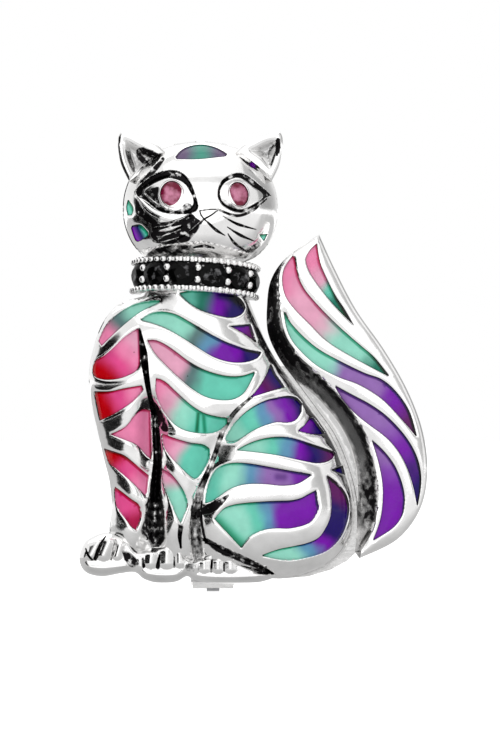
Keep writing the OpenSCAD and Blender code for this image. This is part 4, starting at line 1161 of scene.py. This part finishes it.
def paw_rise(p, edge):
    """Height of the paws' forms, rounded down to their outline."""
    bumps = []
    for start, end, half, crest in PAW_FORMS:
        away = np.clip(segment_distance(p, [start, end]) / (FORM_SPREAD * half), 0, 1)
        bumps.append(crest * (1 - away ** 2) ** 2)
    return PAW_SIDE + (PAW_TOP - PAW_SIDE + np.max(bumps, axis=0)) * rounded(edge, PAW_ROUND)


def paws():
    """The three paws with their toes, in one mesh with the hock."""
    outline = spaced(smooth(PAW_OUTLINE, closed=True), 0.12)
    flat = flat_mesh(outline, [], PAW_MESH, PAW_RINGS, points_by(PAW_MARKS, PAW_MESH))
    verts, _, edge = flat
    cut, dark = cut_by(verts, PAW_MARKS)
    from_sole = np.min([segment_distance(verts, sole) for sole in SOLES], axis=0)
    obj = thick("paws_silver", flat, paw_rise(verts, edge) - cut * rounded(edge, CLEAR_OF_CUTS), 0)
    add_values(obj, "oxide_and_shade", dark)
    add_values(obj, "shade", SOLE_SHADE * np.exp(-(from_sole / SOLE_WIDTH) ** 2))
    stands_for(obj, "body_casting", silver)


# --- Build ---

body_casting()
tail_casting()
head_casting()
for ear_side in (-1, 1):
    ear(ear_side)
for panels, rise_of in ((BODY_PANELS, body_rise), (TAIL_PANELS, tail_rise), (HEAD_PANELS, head_rise)):
    for panel, panel_colours in panels.items():
        enamel_panel(panel, panel_colours, rise_of)
for eye_side in EYES:
    eye(eye_side)
collar()
paws()

# CAD nodes that are shown as they are, with a finish
CARRIED = {"back_frame": satin, "back_bridge": satin, "hinge_base": satin, "hinge_rivet": silver,
           "pin_stem": steel, "catch_base": satin, "catch_roller": silver}
for carried, finish_of in CARRIED.items():
    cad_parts[carried].data.materials.clear()
    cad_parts[carried].data.materials.append(finish_of)


# --- Stage, light and camera ---

MIDDLE = (3.7, 0, 7.4)  # of the object
UNDER_Y, FRONT_Y = -6.0, -30.0  # where a board's glow begins and ends to change


def board(name, size, place, colour, tilt=(0, 0, 0), glow=(0.0, 0.0)):
    """Flat board of the studio, which isn't part of the object.

    `glow` is how much light it gives off under the object and in front of it.
    """
    w, h = size
    corners = [(-w / 2, -h / 2, 0), (w / 2, -h / 2, 0), (w / 2, h / 2, 0), (-w / 2, h / 2, 0)]
    mesh = bpy.data.meshes.new(name)
    mesh.from_pydata([[c * MM for c in corner] for corner in corners], [], [(0, 1, 2, 3)])
    obj = added(name, mesh, place)
    obj.rotation_euler = [math.radians(a) for a in tilt]
    made, tree, shader, where = new_material(name + "_paper")
    grain = scaled(tree, noise(tree, where, 300.0), 0.3, 0.7, 0.97, 1.0)
    depth = node(tree, "SeparateXYZ", {0: where}).outputs[1]
    set_inputs(shader, {
        "Base Color": node(tree, "VectorMath", {0: colour, 1: grain}, operation="MULTIPLY").outputs[0],
        "Roughness": 0.8,
        "Specular IOR Level": 0.0,
        "Emission Color": (1, 1, 1, 1),
        "Emission Strength": scaled(tree, depth, FRONT_Y * MM, UNDER_Y * MM, glow[1], glow[0])})
    mesh.materials.append(made)
    return obj


def softbox(name, place, size, watts):
    """Area light, aimed at the middle of the object."""
    data = bpy.data.lights.new(name, "AREA")
    data.shape = "RECTANGLE"
    data.size, data.size_y = size[0] * MM, size[1] * MM
    data.energy = watts
    obj = added(name, data, place)
    direction = Vector(MIDDLE) - Vector(place)
    obj.rotation_euler = direction.to_track_quat("-Z", "Y").to_euler()
    obj.visible_camera = False


FLOOR_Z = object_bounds()[0][2] / MM - 0.05
board("floor", (6000, 6000), (0, 0, FLOOR_Z), (0.7, 0.7, 0.7), glow=(0.6, 0.6))

softbox("front", (0, -800, 120), (900, 700), 1.0)
softbox("top", (60, -150, 500), (700, 500), 0.5)
softbox("right", (480, -200, 120), (300, 500), 0.25)
softbox("behind", (0, 300, 380), (600, 400), 0.6)
# Boards over the floor that only polished metal sees: a grey one, and a black one at the left
grey_card = board("grey_card", (800, 800), (0, 0, FLOOR_Z + 1), (0.1, 0.1, 0.1), glow=(0.46, 0.78))
black_flag = board("black_flag", (400, 480), (-325, -120, FLOOR_Z + 2), (0.004, 0.004, 0.004),
                   tilt=(0, 0, -30))
for card in (grey_card, black_flag):
    card.visible_camera = False
    card.visible_diffuse = False
    card.visible_transmission = False
    card.visible_shadow = False


def studio_world():
    """Even white light, in which polished metal sees a dark wall on its left and a greyer right."""
    world = bpy.data.worlds.new("studio")
    bpy.context.scene.world = world
    world.use_nodes = True
    tree = world.node_tree
    tree.nodes.clear()
    in_gloss = node(tree, "LightPath").outputs["Is Glossy Ray"]
    direction = node(tree, "TexCoord").outputs["Generated"]
    parts = node(tree, "SeparateXYZ", {0: direction}).outputs
    leaning = node(tree, "Math", {0: parts[2], 1: 0.5, 2: parts[0]}, operation="MULTIPLY_ADD").outputs[0]
    right_of_wall = scaled(tree, leaning, -0.62, -0.5, 0.0, 1.0)
    behind_wall = scaled(tree, parts[1], 0.3, 0.4, 0.0, 1.0)
    off_wall = calculated(tree, "MAXIMUM", right_of_wall, behind_wall)
    right_side = scaled(tree, parts[0], 0.1, 0.9, 1.0, 0.4)
    tone = calculated(tree, "MULTIPLY", calculated(tree, "MULTIPLY", off_wall, right_side), 0.95)
    even = node(tree, "Background", {"Color": (1, 1, 1, 1), "Strength": 1.0}).outputs[0]
    room = node(tree, "Background", {"Color": (1, 1, 1, 1), "Strength": tone}).outputs[0]
    both = node(tree, "MixShader", {0: in_gloss, 1: even, 2: room}).outputs[0]
    node(tree, "OutputWorld", {"Surface": both})


studio_world()

CAMERA_AWAY = 1500.0
VIEW_HEIGHT = 73.3  # height of the picture at the object
SENSOR = 36.0
camera_data = bpy.data.cameras.new("camera")
camera_data.sensor_fit = "VERTICAL"
camera_data.sensor_height = SENSOR
camera_data.lens = SENSOR * CAMERA_AWAY / VIEW_HEIGHT
camera_data.clip_start = 0.01
camera = added("camera", camera_data, (3.7, -CAMERA_AWAY, 7.35))
camera.rotation_euler = (math.pi / 2, 0, 0)
bpy.context.scene.camera = camera
bpy.context.scene.view_settings.view_transform = "Standard"
